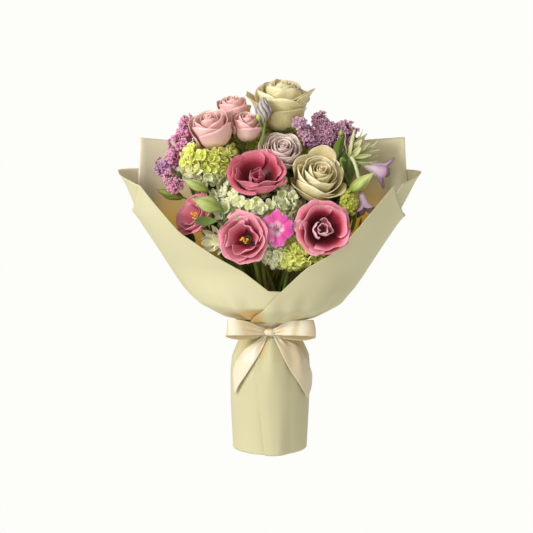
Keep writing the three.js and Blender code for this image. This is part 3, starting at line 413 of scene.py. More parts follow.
# %% Colours of the smaller flowers
add_finishes({
    "white_petal": ([(0, (206, 218, 130)), (0.3, (246, 245, 206)), (1, (255, 254, 238))],
                    (248, 242, 200), dict(dark=0.14)),
    "dianthus": ([(0, (220, 200, 150)), (0.34, (252, 238, 240)), (0.5, (246, 180, 216)),
                  (0.6, (244, 60, 166)), (0.92, (242, 78, 186)), (1, (250, 160, 218))],
                 (252, 168, 214), dict(dark=0.22, veins=(26, 1.6))),
    "lime_floret": ([(0, (166, 184, 36)), (0.3, (244, 246, 88)), (1, (255, 255, 148))],
                    (200, 204, 62), dict(dark=0.08, glow=0.5, scatter=0.008)),
    "white_floret": ([(0, (224, 232, 120)), (0.3, (255, 255, 192)), (1, (255, 255, 222))],
                     (242, 246, 140), dict(dark=0.03, glow=0.6, scatter=0.008)),
    "statice_magenta": ([(0, (160, 56, 96)), (0.5, (234, 116, 164)), (1, (252, 194, 216))],
                        (206, 168, 212), dict(dark=0.1)),
    "statice_mauve": ([(0, (104, 50, 74)), (0.5, (176, 104, 140)), (1, (224, 172, 198))],
                      (222, 182, 208), dict(dark=0.1)),
    "mauve_petal": ([(0, (206, 206, 160)), (0.4, (214, 190, 202)), (0.85, (196, 156, 186)),
                     (1, (140, 104, 138))], (220, 200, 212), dict(dark=0.2)),
    "pollen": ([(0, (206, 190, 70)), (1, (250, 206, 50))], (240, 160, 30), {}),
})

# %% [markdown]
# Leaves, stems and buds are the same tissue in green, with fewer and broader veins. Leaves and stems let
# little light through, so they hardly glow.

# %% Greens
add_finishes({
    "bud_skin": ([(0, (112, 140, 48)), (0.3, (176, 196, 88)), (0.8, (228, 236, 160)), (1, (200, 206, 120))],
                 (132, 152, 52), dict(veins=(14, 1.0), dark=0.3)),
    "striped_skin": ([(0, (170, 170, 120)), (0.3, (214, 204, 198)), (1, (224, 216, 210))],
                     (70, 52, 72), dict(veins=(14, 0.9), dark=0.4)),
    "bract": ([(0, (146, 166, 80)), (0.4, (222, 222, 162)), (1, (250, 248, 220))],
              (190, 200, 120), dict(veins=(8, 1.0), dark=0.15)),
    "leaf_green": ([(0, (124, 150, 66)), (0.4, (92, 128, 46)), (1, (78, 114, 40))],
                   (136, 166, 72), dict(veins=(20, 5.0), dark=0.2, glow=0.06, rough=0.4)),
    # painted shade: this darker green colours the leaves deep among the stems
    "painted_shade_leaf": ([(0, (74, 92, 34)), (0.5, (58, 80, 28)), (1, (50, 70, 26))],
                  (92, 104, 44), dict(veins=(20, 5.0), dark=0.25, glow=0.0, rough=0.45)),
    "mint_leaf": ([(0, (150, 174, 100)), (1, (178, 200, 140))],
                  (122, 152, 82), dict(veins=(16, 4.0), dark=0.2, glow=0.08)),
    "stem_green": ([(0, (118, 148, 60)), (0.5, (124, 154, 66)), (1, (120, 150, 66))],
                   (132, 150, 66), dict(veins=(10, 6.0), dark=0.25, glow=0.0, rough=0.45)),
    "pale_stem": ([(0, (226, 232, 196)), (1, (210, 220, 170))],
                  (200, 212, 150), dict(veins=(10, 6.0), dark=0.1, glow=0.0)),
})

# %% [markdown]
# ## Petals
# Every petal here is the same idea. Going along v, it climbs a smooth curve from its root through a belly
# to its rim. Going across u, it sweeps part of a circle round the flower's axis. One side is tilted
# outwards so that it laps over its neighbour, the rim rolls back, and a few sine waves ruffle it. A flat
# petal bent by modifiers could do this too, but then neighbours would soon cut through each other; in polar
# coordinates each petal keeps its own distance from the axis.

# %% A petal
def climb(spine, w):
    """The Bezier curve of four (radius, height) pairs at w: its radii and its heights."""
    weights = np.stack([(1 - w) ** 3, 3 * w * (1 - w) ** 2, 3 * w**2 * (1 - w), w**3])
    return np.tensordot(np.array(spine, float).T, weights, 1)


def petal(rng, turn, half, spine, roll=0.0, ruffle=0.0, tilt=0.1, rounding=0.2, cup=0.0, size=(16, 14),
          tint=0.5, fringe=0.0, narrow=0.5):
    """Along v the petal climbs its spine, cut short at the sides by rounding * |side|^2.6. Near the rim it
    rolls outwards and down. Across, it sweeps half each way from turn, and only narrow * half at the root,
    and its sides come in by cup * side^2. Ruffles are sines that grow as v^3, and fringe cuts teeth."""
    u, v = grid(*size)
    side = 2 * u - 1
    w = v * (1 - rounding * np.abs(side) ** 2.6)
    radius, height = climb(spine, w)
    rolled = smooth(w, 0.6, 1.0) ** 1.5 * (1 + 0.8 * side**2)
    radius = radius + roll * rolled
    height = height - roll * 0.9 * smooth(w, 0.74, 1.04) * (1 + 0.8 * side**2)
    first, second, third = rng.uniform(0, 6.3, 3)
    wave = np.sin(side * rng.uniform(2.4, 3.8) + first) + 0.5 * np.sin(side * rng.uniform(6, 9) + second)
    radius = radius + ruffle * v**3 * wave
    height = height + ruffle * v**3 * 0.7 * np.cos(side * rng.uniform(3.5, 5) + third)
    if fringe:
        tooth = fringe * smooth(v, 0.7, 1) * (np.arange(size[0] + 1) % 2)[:, None]
        radius, height = radius - tooth, height + tooth * 0.4
    width = half * (narrow + (1 - narrow) * smooth(w, 0, 0.6))
    angle = turn + side * width
    radius = radius * (1 + tilt * side - cup * side**2 * smooth(w, 0.2, 0.9))
    return patch(xyz(radius * np.cos(angle), radius * np.sin(angle), height), tint)


one = petal(np.random.default_rng(1), 0, 1, [(3, 0), (10, 5), (14, 20), (12, 30)])
print("one petal", len(one[0]), "points")

# %% [markdown]
# ## The roses
# A rose is a spiral. Each petal is a golden turn (137.5 degrees) further round than the last, a little
# wider open and a little lower, so no two edges line up. Rings of five petals would be simpler, but their
# edges would line up and look stamped. The heart is one rolled strip, like a scroll.

# %% Rose
GOLDEN = math.pi * (3 - math.sqrt(5))


def rose(rng, radius, height, count=16, broad=(82, 58), flare=1.0, ruffle=0.02, loose=()):
    """count petals in a spiral, from rims of 0.2 to 0.96 of the radius, round a scroll of 2.2 turns. broad
    is their half angle, inner and outer; flare is how far their rims roll out. loose adds outer petals that
    fall open, as (turn in degrees, reach over the radius, rim height over the height, half angle)."""
    u, v = grid(80, 10)
    turn = u * 2.2 * 2 * math.pi
    out = radius * (0.03 + 0.15 * u) * (1 + 0.16 * v**3 + 0.05 * np.sin(3 * turn) * v)
    top = height * (0.96 - 0.04 * u + 0.014 * np.sin(turn * 1.7))
    rise = blend(0.35 * height, top, v)
    patches = [patch(xyz(out * np.cos(turn), out * np.sin(turn), rise), 0.6)]
    for index in range(count):
        t = index / (count - 1)
        edge = radius * (0.2 + 0.76 * t**0.9) * rng.uniform(0.97, 1.03)
        top = height * (0.98 - 0.13 * t**2) * rng.uniform(0.98, 1.02)
        base = radius * blend(0.05, 0.12, t)
        spine = [(base, height * 0.04), (edge * 0.92, height * blend(0.3, 0.04, t)),
                 (edge * blend(1.2, 1.1, t), height * blend(0.6, 0.5, t)), (edge * blend(0.86, 0.93, t), top)]
        patches.append(petal(
            rng, index * GOLDEN, math.radians(blend(*broad, t**0.7)), spine,
            roll=radius * blend(0.03, 0.15, t) * flare * rng.uniform(0.6, 1.35),
            ruffle=radius * ruffle * (0.5 + t), tilt=0.06, rounding=blend(0.1, 0.26, t), cup=0.04,
            size=(20, 16), tint=rng.uniform(0.1, 0.7) * (1 - 0.3 * t)))
    for turn, reach, top, half in loose:
        spine = [(radius * 0.12, height * 0.04), (radius * 0.92, height * 0.06),
                 (radius * blend(1, reach, 0.35), height * top * 0.7), (radius * reach * 0.94, height * top)]
        patches.append(petal(rng, math.radians(turn), math.radians(half), spine, roll=radius * 0.16,
                             ruffle=radius * 0.05, tilt=0.04, rounding=0.4, size=(22, 18), tint=0.55))
    return patches


print("a rose has", len(rose(np.random.default_rng(1), 30, 50)), "patches")

# %% [markdown]
# ## Lisianthus
# A lisianthus opens into a ruffled bowl: broad petals whose rims lie almost flat, a second row that stands
# higher, and a dark throat with a pistil and yellow anthers. Here petals do stand in rings, as on the real
# flower, and random sizes and turns keep them from looking stamped.

# %% Lisianthus
LISIANTHUS_ROWS = [
    # count, first turn, half angle, then as shares of the bloom: the rim's radius and height, the waist's
    # radius and height, roll and ruffle
    (5, 0.0, 50, 0.99, 0.80, 0.86, 0.30, 0.13, 0.034),
    (4, 0.63, 58, 0.80, 0.92, 0.78, 0.36, 0.10, 0.046),
    (3, 0.3, 62, 0.56, 0.92, 0.60, 0.40, 0.06, 0.060),
]


def lisianthus(rng, radius, height, rows, depth=0.0):
    """The chosen rows of petals: broad rims outside, and shorter upright ones that curl over the throat.
    depth is how deep their rose colour is."""
    patches = []
    for count, start, half, rim_r, rim_h, waist_r, waist_h, roll, ruffle in rows:
        for index in range(count):
            wide, tall = rng.uniform(0.95, 1.03), rng.uniform(0.96, 1.03)
            spine = [(radius * 0.09, height * 0.05), (radius * waist_r * 0.75, height * waist_h * 0.5),
                     (radius * waist_r * 1.04, height * (waist_h + 0.3)),
                     (radius * rim_r * 0.93 * wide, height * rim_h * tall)]
            turn = start + index * 2 * math.pi / count + rng.uniform(-0.12, 0.12)
            patches.append(petal(
                rng, turn, math.radians(half), spine, roll=radius * roll * rng.uniform(0.5, 1.4),
                ruffle=radius * ruffle * 1.5, tilt=0.07, rounding=0.15, cup=0.03, size=(26, 20),
                tint=depth + rng.uniform(0, 0.2)))
    return patches


def curled_heart(rng, radius, height, depth=0.0):
    """Five short petals in a loose scroll in the throat, as in a bloom that has only half opened."""
    patches = []
    for index in range(5):
        reach = radius * (0.12 + 0.06 * index)
        spine = [(radius * 0.06, height * 0.2), (reach * 1.1, height * 0.3), (reach * 1.35, height * 0.66),
                 (reach * 0.85, height * (0.98 - 0.04 * index))]
        patches.append(petal(rng, index * GOLDEN, math.radians(84 - 6 * index), spine, roll=radius * 0.02,
                             ruffle=radius * 0.05, tilt=0.12, rounding=0.14, size=(20, 14),
                             tint=depth + rng.uniform(0, 0.2)))
    return patches


print("lisianthus rows", len(LISIANTHUS_ROWS))

# %% [markdown]
# Stems, stalks, stamens and twine are all tubes along a path. A Blender curve with a bevel would give one
# too, but a numpy tube lands in the same mesh as the petals, with the same UV map and tint.

# %% Tubes and stamens
def tube(points, radii, sides=8, tint=0.3):
    """A round tube along a path, closed at both ends. Each ring is square to the path, and starts in a
    direction that is square to one fixed guide as well, so that the rings don't twist."""
    points, radii = np.asarray(points, float), np.asarray(radii, float)
    ahead = np.gradient(points, axis=0)
    ahead /= np.linalg.norm(ahead, axis=1, keepdims=True)
    guide = np.array([0.0, 1.0, 0.0]) if abs(ahead[0, 1]) < 0.9 else np.array([1.0, 0.0, 0.0])
    first = np.cross(guide, ahead)
    first /= np.linalg.norm(first, axis=1, keepdims=True)
    second = np.cross(ahead, first)
    angle = np.linspace(0, 2 * math.pi, sides + 1)
    ring = np.cos(angle)[:, None, None] * first[None] + np.sin(angle)[:, None, None] * second[None]
    rings = points[None] + ring * radii[None, :, None]
    ends = np.broadcast_to(points[[0, -1]], (sides + 1, 2, 3))
    return patch(np.concatenate([ends[:, :1], rings, ends[:, 1:]], axis=1), tint)


def curve(points, count):
    """A Catmull-Rom curve through the points, as count points spread over its spans."""
    p = np.asarray(points, float)
    p = np.concatenate([[2 * p[0] - p[1]], p, [2 * p[-1] - p[-2]]])
    t = np.linspace(0, len(p) - 3 - 1e-9, count)
    k = t.astype(int)
    s = (t - k)[:, None]
    a, b, c, d = p[k], p[k + 1], p[k + 2], p[k + 3]
    return 0.5 * (2 * b + (c - a) * s + (2 * a - 5 * b + 4 * c - d) * s**2 + (3 * b - a - 3 * c + d) * s**3)


def stamens(rng, radius, height, count=6):
    """A pistil with a thick tip and short filaments, each with a fat anther, in the throat."""
    pistil = [[0, 0, height * 0.2], [0, 0, height * 0.55], [0.4, 0, height * 0.8]]
    patches = [tube(pistil, [1.5, 1.2, 2.0], 8, 0.9)]
    for index in range(count):
        way = rng.uniform(0, 6.3)
        out = radius * rng.uniform(0.1, 0.17)
        x, y = math.cos(way), math.sin(way)
        top = height * rng.uniform(0.6, 0.74)
        patches.append(tube([[x * 1.5, y * 1.5, height * 0.25], [x * out * 0.7, y * out * 0.7, height * 0.5],
                             [x * out, y * out, top - 2], [x * out * 1.1, y * out * 1.1, top]],
                            [0.4, 0.4, 1.5, 0.9], 6, 0.1))
    return patches


print("a bloom has", len(stamens(np.random.default_rng(1), 30, 34)) - 1, "stamens and a pistil")

# %% [markdown]
# A leaf is a sheet with a sine-shaped width, folded a little along its midrib and bent along its length. It
# could be a cut-out picture on a plane, but its outline would be flat from the side. The same shape, narrow,
# makes pointed petals and bracts.

# %% Leaf
def leaf(base, tip, width, side, bend=0.08, wave=0.0, tint=0.4):
    """A leaf from base to tip; side is the way across it. Its halves fold up by 0.35 of their width, it bows
    by bend of its length, as the sine of v, and its edges wave."""
    u, v = grid(12, 20)
    base, along = np.asarray(base, float), np.subtract(tip, base)
    across = np.asarray(side, float) - along * (np.dot(side, along) / np.dot(along, along))
    across /= np.linalg.norm(across)
    lift = np.cross(along, across)
    lift /= np.linalg.norm(lift)
    half = width / 2 * (0.06 + 0.94 * np.sin(math.pi * np.minimum(1, v * 0.95 + 0.03)) ** 0.9) * (v < 0.999)
    s = 2 * u - 1
    high = np.sin(math.pi * v) * np.linalg.norm(along) * bend + np.abs(s) * half * 0.35
    high = high + wave * np.sin(v * 14) * np.abs(s)
    points = base + v[..., None] * along + (s * half)[..., None] * across + high[..., None] * lift
    return patch(points, tint)


print("a leaf has", len(leaf((0, 0, 0), (0, 0, 40), 12, (1, 0, 0))[1]), "faces")

# %% [markdown]
# ## Dianthus and a spiky white bloom
# The dianthus has five flat petals with saw-toothed rims, deep pink with a pale star in the middle. The
# teeth are geometry, because a bump would not show in its outline: every other column of the rim is cut
# back. The small white bloom is a tuft of pointed leaves in a petal's colour.

# %% Dianthus and spiky bloom
def dianthus(rng, radius, height):
    """Five fan-shaped petals that leave a narrow tube and lie almost flat, each with a toothed rim, and nine
    fine filaments between them."""
    patches = []
    for index in range(5):
        lift = rng.uniform(-0.12, 0.16)
        spine = [(radius * 0.04, height * 0.4), (radius * 0.12, height * 1.0),
                 (radius * 0.5, height * (1.02 + lift)), (radius * 0.98, height * (0.84 + lift))]
        patches.append(petal(
            rng, index * 2 * math.pi / 5 + rng.uniform(-0.08, 0.08), math.radians(rng.uniform(37, 42)), spine,
            ruffle=radius * 0.09, tilt=0.03, rounding=0.16, size=(30, 16), fringe=radius * 0.1, narrow=0.86,
            tint=rng.uniform(0, 0.5)))
    for index in range(9):
        way, reach = rng.uniform(0, 6.3), radius * rng.uniform(0.08, 0.3)
        x, y = reach * math.cos(way), reach * math.sin(way)
        patches.append(tube([[x * 0.2, y * 0.2, height * 0.7], [x * 0.7, y * 0.7, height * 1.02],
                             [x, y, height * 1.12]], [0.5, 0.5, 0.3], 6, 0.0))
    return patches


def spiky(rng, radius, height):
    """Seven narrow pointed petals laid open, and five shorter ones that still stand, all from one root."""
    patches = []
    for index in range(12):
        way = index * GOLDEN + rng.uniform(-0.2, 0.2)
        reach = radius * (rng.uniform(0.85, 1.05) if index < 7 else rng.uniform(0.3, 0.55))
        top = height * (rng.uniform(0.6, 0.9) if index < 7 else rng.uniform(0.95, 1.05))
        tip = (reach * math.cos(way), reach * math.sin(way), top)
        patches.append(leaf((0, 0, height * 0.1), tip, radius * rng.uniform(0.38, 0.5),
                            (-math.sin(way), math.cos(way), 0), -0.22, 0.5, rng.uniform(0, 0.7)))
    return patches


print("a dianthus has", len(dianthus(np.random.default_rng(1), 24, 20)), "patches")

# %% [markdown]
# ## Setting the cup-shaped blooms
# The table repeats the CAD model's own numbers: the middle of each open face, the way it looks, its radius
# and its height. The shape functions above work along +Z, and the table says where each bloom goes, so one
# function serves every rose.

# %% The table of cup-shaped blooms
CUPS = {
    "rose_white_top": ("rose", (15, 14, 480), (0.03, -0.2, 0.98), 33, 70, "white_rose"),
    "rose_white_right": ("rose", (65, -46, 373), (0.25, -0.66, 0.7), 32, 52, "white_rose"),
    "rose_lilac": ("rose", (17, -27, 401), (0.14, -0.7, 0.7), 25.5, 38, "lilac_rose"),
    "rose_dusky_left": ("rose", (-81, -31, 438), (-0.25, -0.45, 0.85), 28, 50, "dusky_rose"),
    "rose_dusky_high": ("rose", (-50, 20, 459), (-0.12, -0.25, 0.96), 22, 44, "dusky_rose"),
    "rose_dusky_low": ("rose", (-28, -16, 437), (0.14, -0.45, 0.88), 20, 38, "dusky_rose"),
    "lisianthus_top": ("lisianthus", (-16, -62, 372), (-0.05, -0.72, 0.69), 37, 36, "pink_petal"),
    "lisianthus_left": ("lisianthus", (-36, -97, 289), (-0.25, -0.95, 0.2), 32, 34, "pink_petal"),
    "lisianthus_right": ("lisianthus", (68, -88, 300), (0.1, -0.97, 0.2), 34, 34, "pink_petal"),
    "lisianthus_side": ("lisianthus", (-105, -54, 318), (-0.72, -0.5, 0.48), 29, 36, "pink_petal"),
    "lisianthus_white": ("lisianthus", (-77, -70, 280), (-0.5, -0.85, 0.1), 20, 24, "white_petal"),
    "lisianthus_back": ("lisianthus", (92, 46, 392), (0.5, 0.45, 0.74), 31, 34, "pink_petal"),
    "rose_back": ("rose", (-84, 44, 414), (-0.4, 0.45, 0.8), 27, 42, "dusky_rose"),
    "dianthus": ("dianthus", (8, -84, 299), (0.05, -0.98, 0.2), 24, 20, "magenta_petal"),
}


def cup_place(face, axis, height):
    """The turn of a bloom, and its base: a height behind its face."""
    turn = frame_along(axis)
    return turn, np.asarray(face, float) - turn[:, 2] * height


print("cup-shaped blooms", len(CUPS))

# %% [markdown]
# Under each bloom sits a small green calyx with five sepals. The sepals have to lie on the petals and not in
# them, so they follow the outermost petal's own curve, one millimetre outside it.

# %% Calyx
SEPAL_GAP = 1.0  # mm from the petals' curve to the sepals


def outer_spine(kind, radius, height):
    """The Bezier points of a bloom's outermost petals, which its sepals lie against."""
    if kind == "rose":
        return [(radius * 0.12, height * 0.04), (radius * 0.88, height * 0.04), (radius * 1.06, height * 0.5),
                (radius * 0.89, height * 0.85)]
    if kind == "dianthus":
        return [(4.0, 0), (4.8, height * 0.4), (4.8, height * 0.8), (7.0, height * 1.0)]
    return [(radius * 0.09, height * 0.05), (radius * 0.65, height * 0.15), (radius * 0.89, height * 0.6),
            (radius * 0.92, height * 0.8)]


def calyx(rng, kind, radius, height):
    """A small green cup, and five pointed sepals just outside the petals' own curve: at each place from 0.05
    to 0.42 of its way, the curve is moved along its normal."""
    u, v = grid(10, 5)
    angle = u * 2 * math.pi
    out = blend(2.2, 5.2, v**0.7)
    patches = [patch(xyz(out * np.cos(angle), out * np.sin(angle), -0.6 + v * 5), 0.2)]
    u, v = grid(4, 10)
    r, h = climb(outer_spine(kind, radius, height), 0.05 + 0.37 * v)
    slope = np.stack([np.gradient(r, axis=1), np.gradient(h, axis=1)])
    slope = slope / np.hypot(*slope)
    r, h = r + slope[1] * SEPAL_GAP, h - slope[0] * SEPAL_GAP
    for index in range(5):
        side = (2 * u - 1) * np.sin(math.pi * np.clip(v * 0.86 + 0.1, 0, 1)) * radius * 0.13 / r
        turn = index * 2 * math.pi / 5 + rng.uniform(-0.15, 0.15) + side
        patches.append(patch(xyz(r * np.cos(turn), r * np.sin(turn), h), 0.3))
    return patches


print("a calyx has", len(calyx(np.random.default_rng(1), "rose", 30, 50)), "patches")

# %% [markdown]
# Not every lisianthus is fully open. The top one leans back and its front petals still stand, so its front
# half is drawn in towards the axis. It and the right one hold a loose scroll of rolled petals in the throat
# instead of stamens. Both could be shapes of their own; drawing in and swapping the heart reuses what is
# already there.

# %% Half open blooms
SHUT = {"lisianthus_top": 0.4}
# the heart's size over the bloom's, and how much deeper its rose colour is
HEARTS = {"lisianthus_top": (0.8, 0.3), "lisianthus_right": (1, 0)}


def front_pull(y, share, amount):
    """How far a bloom's front half (-Y) is drawn in, at a share of its height: 1 at its root, and
    1 - amount above."""
    return 1 - amount * smooth(share, 0.2, 0.85) * (y < 0)


def half_shut(patches, height, amount):
    """The same patches with their front half drawn in, as in a bloom that opens backwards."""
    def draw_in(points):
        pull = front_pull(points[:, 1], points[:, 2] / height, amount)
        return np.column_stack([points[:, 0], points[:, 1] * pull, points[:, 2]])
    return reshaped(patches, draw_in)


print("half open", ", ".join(HEARTS))

# %% [markdown]
# Now the blooms are made. The white and lilac roses have a few loose outer petals, each given by its turn,
# its reach and the height of its rim, because these petals draw the outline that is seen from afar.

# %% Cup-shaped blooms
OUTER, INNER = LISIANTHUS_ROWS[:2], LISIANTHUS_ROWS[2:]
ROSE_FORMS = {
    "rose_white_top": dict(count=17, flare=1.3, ruffle=0.04,
                           loose=[(192, 1.34, 0.82, 46), (-12, 1.16, 0.93, 50), (80, 1.1, 0.95, 50),
                                  (-62, 1.08, 0.64, 54)]),
    "rose_white_right": dict(count=17, ruffle=0.03,
                             loose=[(85, 1.1, 1.04, 40), (-110, 1.12, 0.72, 52), (-35, 1.1, 0.8, 46)]),
    "rose_lilac": dict(count=17, ruffle=0.035, loose=[(170, 1.12, 0.85, 44)]),
}
DUSKY_FORM = dict(count=11, broad=(88, 66), flare=0.8, ruffle=0.03)
ROSE_DEPTH = {"lisianthus_top": 0.42, "lisianthus_side": 0.25, "lisianthus_left": 0.0,
              "lisianthus_right": 0.05, "lisianthus_back": 0.3}


def set_lisianthus(rng, name, radius, height, turn, base):
    """The outer petals, then in the throat either a scroll or upright petals and stamens."""
    depth, half_open = ROSE_DEPTH[name], name in HEARTS
    petals = half_shut(lisianthus(rng, radius, height, OUTER, depth), height, SHUT.get(name, 0))
    bowl = FINISH["lisianthus_bowl" if half_open else "lisianthus_inside"]
    piece(name + "_petals", placed(petals, turn, base), FINISH["lisianthus"], 0.45, [name],
          bowl)
    if half_open:
        share, deeper = HEARTS[name]
        heart = curled_heart(rng, radius * share, height * share, depth + deeper)
        skin, lining = FINISH["lisianthus_curl"], FINISH["lisianthus_curl"]
    else:
        heart = lisianthus(rng, radius, height, INNER, depth)
        skin, lining = FINISH["lisianthus_heart"], FINISH["lisianthus_inside"]
    piece(name + "_heart", placed(heart, turn, base), skin, 0.4, inside=lining)
    if not half_open:
        anthers = placed(stamens(rng, radius, height), turn, base)
        piece(name + "_stamens", anthers, FINISH["pollen"])


calyxes = []
for index, (name, (kind, face, axis, radius, height, slot)) in enumerate(CUPS.items()):
    rng = np.random.default_rng(100 + index)
    turn, base = cup_place(face, axis, height)
    calyxes += placed(half_shut(calyx(rng, kind, radius, height), height, SHUT.get(name, 0)), turn, base)
    if kind == "rose":
        petals = rose(rng, radius, height, **ROSE_FORMS.get(name, DUSKY_FORM))
        piece(name + "_petals", placed(petals, turn, base), FINISH[slot], 0.45, [name],
              FINISH[slot + "_inside"])
    elif kind == "dianthus":
        petals = dianthus(rng, radius, height)
        piece(name + "_petals", placed(petals, turn, base), FINISH["dianthus"], 0.4, [name])
    elif slot == "white_petal":
        petals = spiky(rng, radius * 1.05, height)
        piece(name + "_petals", placed(petals, turn, base), FINISH["white_petal"], 0.5, [name])
    else:
        set_lisianthus(rng, name, radius, height, turn, base)
piece("calyxes", calyxes, FINISH["stem_green"], 0.4)
print("faces so far", sum(made.values()))

# %% [markdown]
# ## Hydrangea and statice
# A hydrangea head is a dome of hundreds of small four-petalled florets, and statice is a spray of papery
# five-lobed ones. A particle system could scatter them, but its result is harder to steer clear of the other
# flowers. Here one floret is worked out once, and numpy sets copies of it over each dome in one step, so the
# faces per floret stay low.

# %% Florets
def floret_shape(lobes, dish, size=(3, 3), width=0.5):
    """One floret of rounded petals, of radius 1. Along v each petal runs from 0.04 to 1 and rises as
    v^2 * dish; its half width is width * sin of v, widest at 0.6; its middle lies lower than its sides."""
    u, v = grid(*size)
    side = 2 * u - 1
    along = (0.04 + 0.96 * v) * (1 - 0.14 * side**2 * v)
    across = side * width * np.sin(math.pi * (0.06 + 0.72 * v))
    lift = dish * (v**2 - 0.4 * (1 - side**2) * np.sin(math.pi * v))
    sheets = []
    for index in range(lobes):
        turn = index * 2 * math.pi / lobes
        x = along * math.cos(turn) - across * math.sin(turn)
        y = along * math.sin(turn) + across * math.cos(turn)
        sheets.append(patch(xyz(x, y, lift + 0.05 * index)))
    return sheets


def even_directions(count, axis, cover):
    """count directions spread evenly (a golden spiral) over the part of a ball that looks along an axis:
    a dome where cover is 1, and the whole ball where it is 2."""
    k = np.arange(count)
    z = 1 - cover * (k + 0.5) / count
    flat = np.sqrt(1 - z**2)
    return np.stack([flat * np.cos(k * GOLDEN), flat * np.sin(k * GOLDEN), z], axis=1) @ frame_along(axis).T


def turns_to(directions, spins):
    """One 3 x 3 matrix for each direction: its third column is the direction, turned about it by its spin."""
    d = directions / np.linalg.norm(directions, axis=1, keepdims=True)
    guide = np.where(np.abs(d[:, 2:]) < 0.9, [[0, 0, 1.0]], [[1.0, 0, 0]])
    a = np.cross(guide, d)
    a /= np.linalg.norm(a, axis=1, keepdims=True)
    b = np.cross(d, a)
    c, s = np.cos(spins)[:, None], np.sin(spins)[:, None]
    return np.stack([a * c + b * s, b * c - a * s, d], axis=2)


def scatter(shape, places, directions, spins, scales, tints):
    """Copies of a floret's patches, one for each place, as whole arrays."""
    turns = turns_to(directions, spins)
    copies = []
    for points, faces, uv, _ in shape:
        moved = np.einsum("kij,nj->kni", turns, points) * scales[:, None, None] + places[:, None, :]
        shifted = faces[None] + (np.arange(len(places)) * len(points))[:, None, None]
        copies.append((moved.reshape(-1, 3), shifted.reshape(-1, 4), np.tile(uv, (len(places), 1)),
                       np.repeat(tints, len(points))))
    return copies


print("a floret has", 4 * len(floret_shape(4, 0.45)[0][1]), "faces")

# %% [markdown]
# Florets and leaves must not poke through the roses. Testing each against every petal would be slow, so a
# bloom's room is taken as a cup round its axis: two short rows give its half width, as a share of its radius,
# at some shares of its height.

# %% Room round the blooms
OPEN_ROOM = [(-0.02, 0, 0.2, 0.45, 0.7, 1.03), (0.12, 0.16, 0.55, 0.9, 1.0, 1.0)]
ROSE_ROOM = [(-0.02, 0, 0.1, 0.3, 0.6, 1.03), (0.14, 0.22, 0.6, 0.98, 1.02, 1.02)]


def outside_cups(places, margin):
    """True where a place is clear of every cup-shaped bloom by a margin: outside its widening cup."""
    clear = np.ones(len(places), bool)
    for name, (kind, face, axis, radius, height, _) in CUPS.items():
        form = ROSE_ROOM if kind == "rose" else OPEN_ROOM
        turn, base = cup_place(face, axis, height)
        local = (places - base) @ turn
        share = local[:, 2] / height
        half = radius * np.interp(share, *form)
        aside = local[:, 1] / front_pull(local[:, 1], share, SHUT.get(name, 0))
        inside = (np.hypot(local[:, 0], aside) < half + margin) & (share > -0.1) & (share < 1.12)
        clear &= ~inside
    return clear


def florets_clear(shape, places, directions, spins, scales, margin):
    """True for each floret none of whose points reaches into a cup-shaped bloom."""
    points = np.concatenate([p for p, _, _, _ in shape])
    moved = np.einsum("kij,nj->kni", turns_to(directions, spins), points) * scales[:, None, None]
    moved = moved + places[:, None, :]
    return outside_cups(moved.reshape(-1, 3), margin).reshape(len(places), -1).all(axis=1)


print("a place inside the top rose counts as clear:", bool(outside_cups(np.array([[15.0, 14, 460]]), 0)[0]))

# %% [markdown]
# The florets of a head sit on an ellipsoid, with a second, smaller layer inside it that fills the gaps.
# Where a rose or a lisianthus needs the room, florets are left out. The lime head and the low one turn white
# on one side: for them the last entry names an axis (0 for X, 2 for Z) and the place below which florets
# are white.

# %% Hydrangea heads
ONE_COLOUR = (2, 0)  # no floret lies below the floor, so none turns white
HEADS = {
    # middle, half sizes, the way it looks, slot, a floret's radius, where it is white
    "hydrangea_lime": ((-78, -16, 378), (27, 24, 24), (-0.3, -0.4, 0.85), "lime_floret", 7.6, (2, 364)),
    "hydrangea_white": ((-14, -37, 323), (48, 32, 29), (-0.05, -0.7, 0.7), "white_floret", 8.4, ONE_COLOUR),
    "hydrangea_low": ((27, -54, 268), (37, 20, 18), (0.1, -0.75, 0.6), "lime_floret", 7.4, (0, 13)),
    "hydrangea_back": ((-14, 46, 394), (54, 26, 30), (0, 0.35, 0.93), "lime_floret", 8.4, ONE_COLOUR),
}
for index, (name, (centre, half, axis, slot, size, white_side)) in enumerate(HEADS.items()):
    rng = np.random.default_rng(300 + index)
    shape = floret_shape(4, 0.45, width=0.54)
    side, limit = white_side
    layers, white = [], []
    for share, count, pale in ((1.06, 330, (0, 0.25)), (0.88, 190, (0.2, 0.7))):
        ways = even_directions(count, axis, 1.85)
        ways += rng.normal(0, 0.12, ways.shape)
        places = np.asarray(centre) + ways * np.asarray(half) * share * rng.uniform(0.88, 1.08, (count, 1))
        facing, spins = ways + rng.normal(0, 0.34, ways.shape), rng.uniform(0, 6.3, count)
        scales, tints = rng.uniform(0.75, 1.15, count) * size, rng.uniform(*pale, count)
        keep = florets_clear(shape, places, facing, spins, scales, 0.5)
        places, facing, spins, scales, tints = (a[keep] for a in (places, facing, spins, scales, tints))
        turned_white = places[:, side] + rng.normal(0, 3, len(places)) < limit
        for group, chosen in ((layers, ~turned_white), (white, turned_white)):
            group += scatter(shape, *(a[chosen] for a in (places, facing, spins, scales, tints)))
    piece(name + "_florets", layers, FINISH[slot], 0.35, [name])
    if white_side != ONE_COLOUR:
        piece(name + "_white_florets", white, FINISH["white_floret"], 0.35)

# %% [markdown]
# Statice grows in clusters along a branching twig. A cluster is a small ball of florets, given by its middle
# and its radius, and pairs of clusters say where the twigs run. Half way along each twig one more cluster
# joins the others, so that a spray reads as one soft plume. One cluster of each spray is paler.

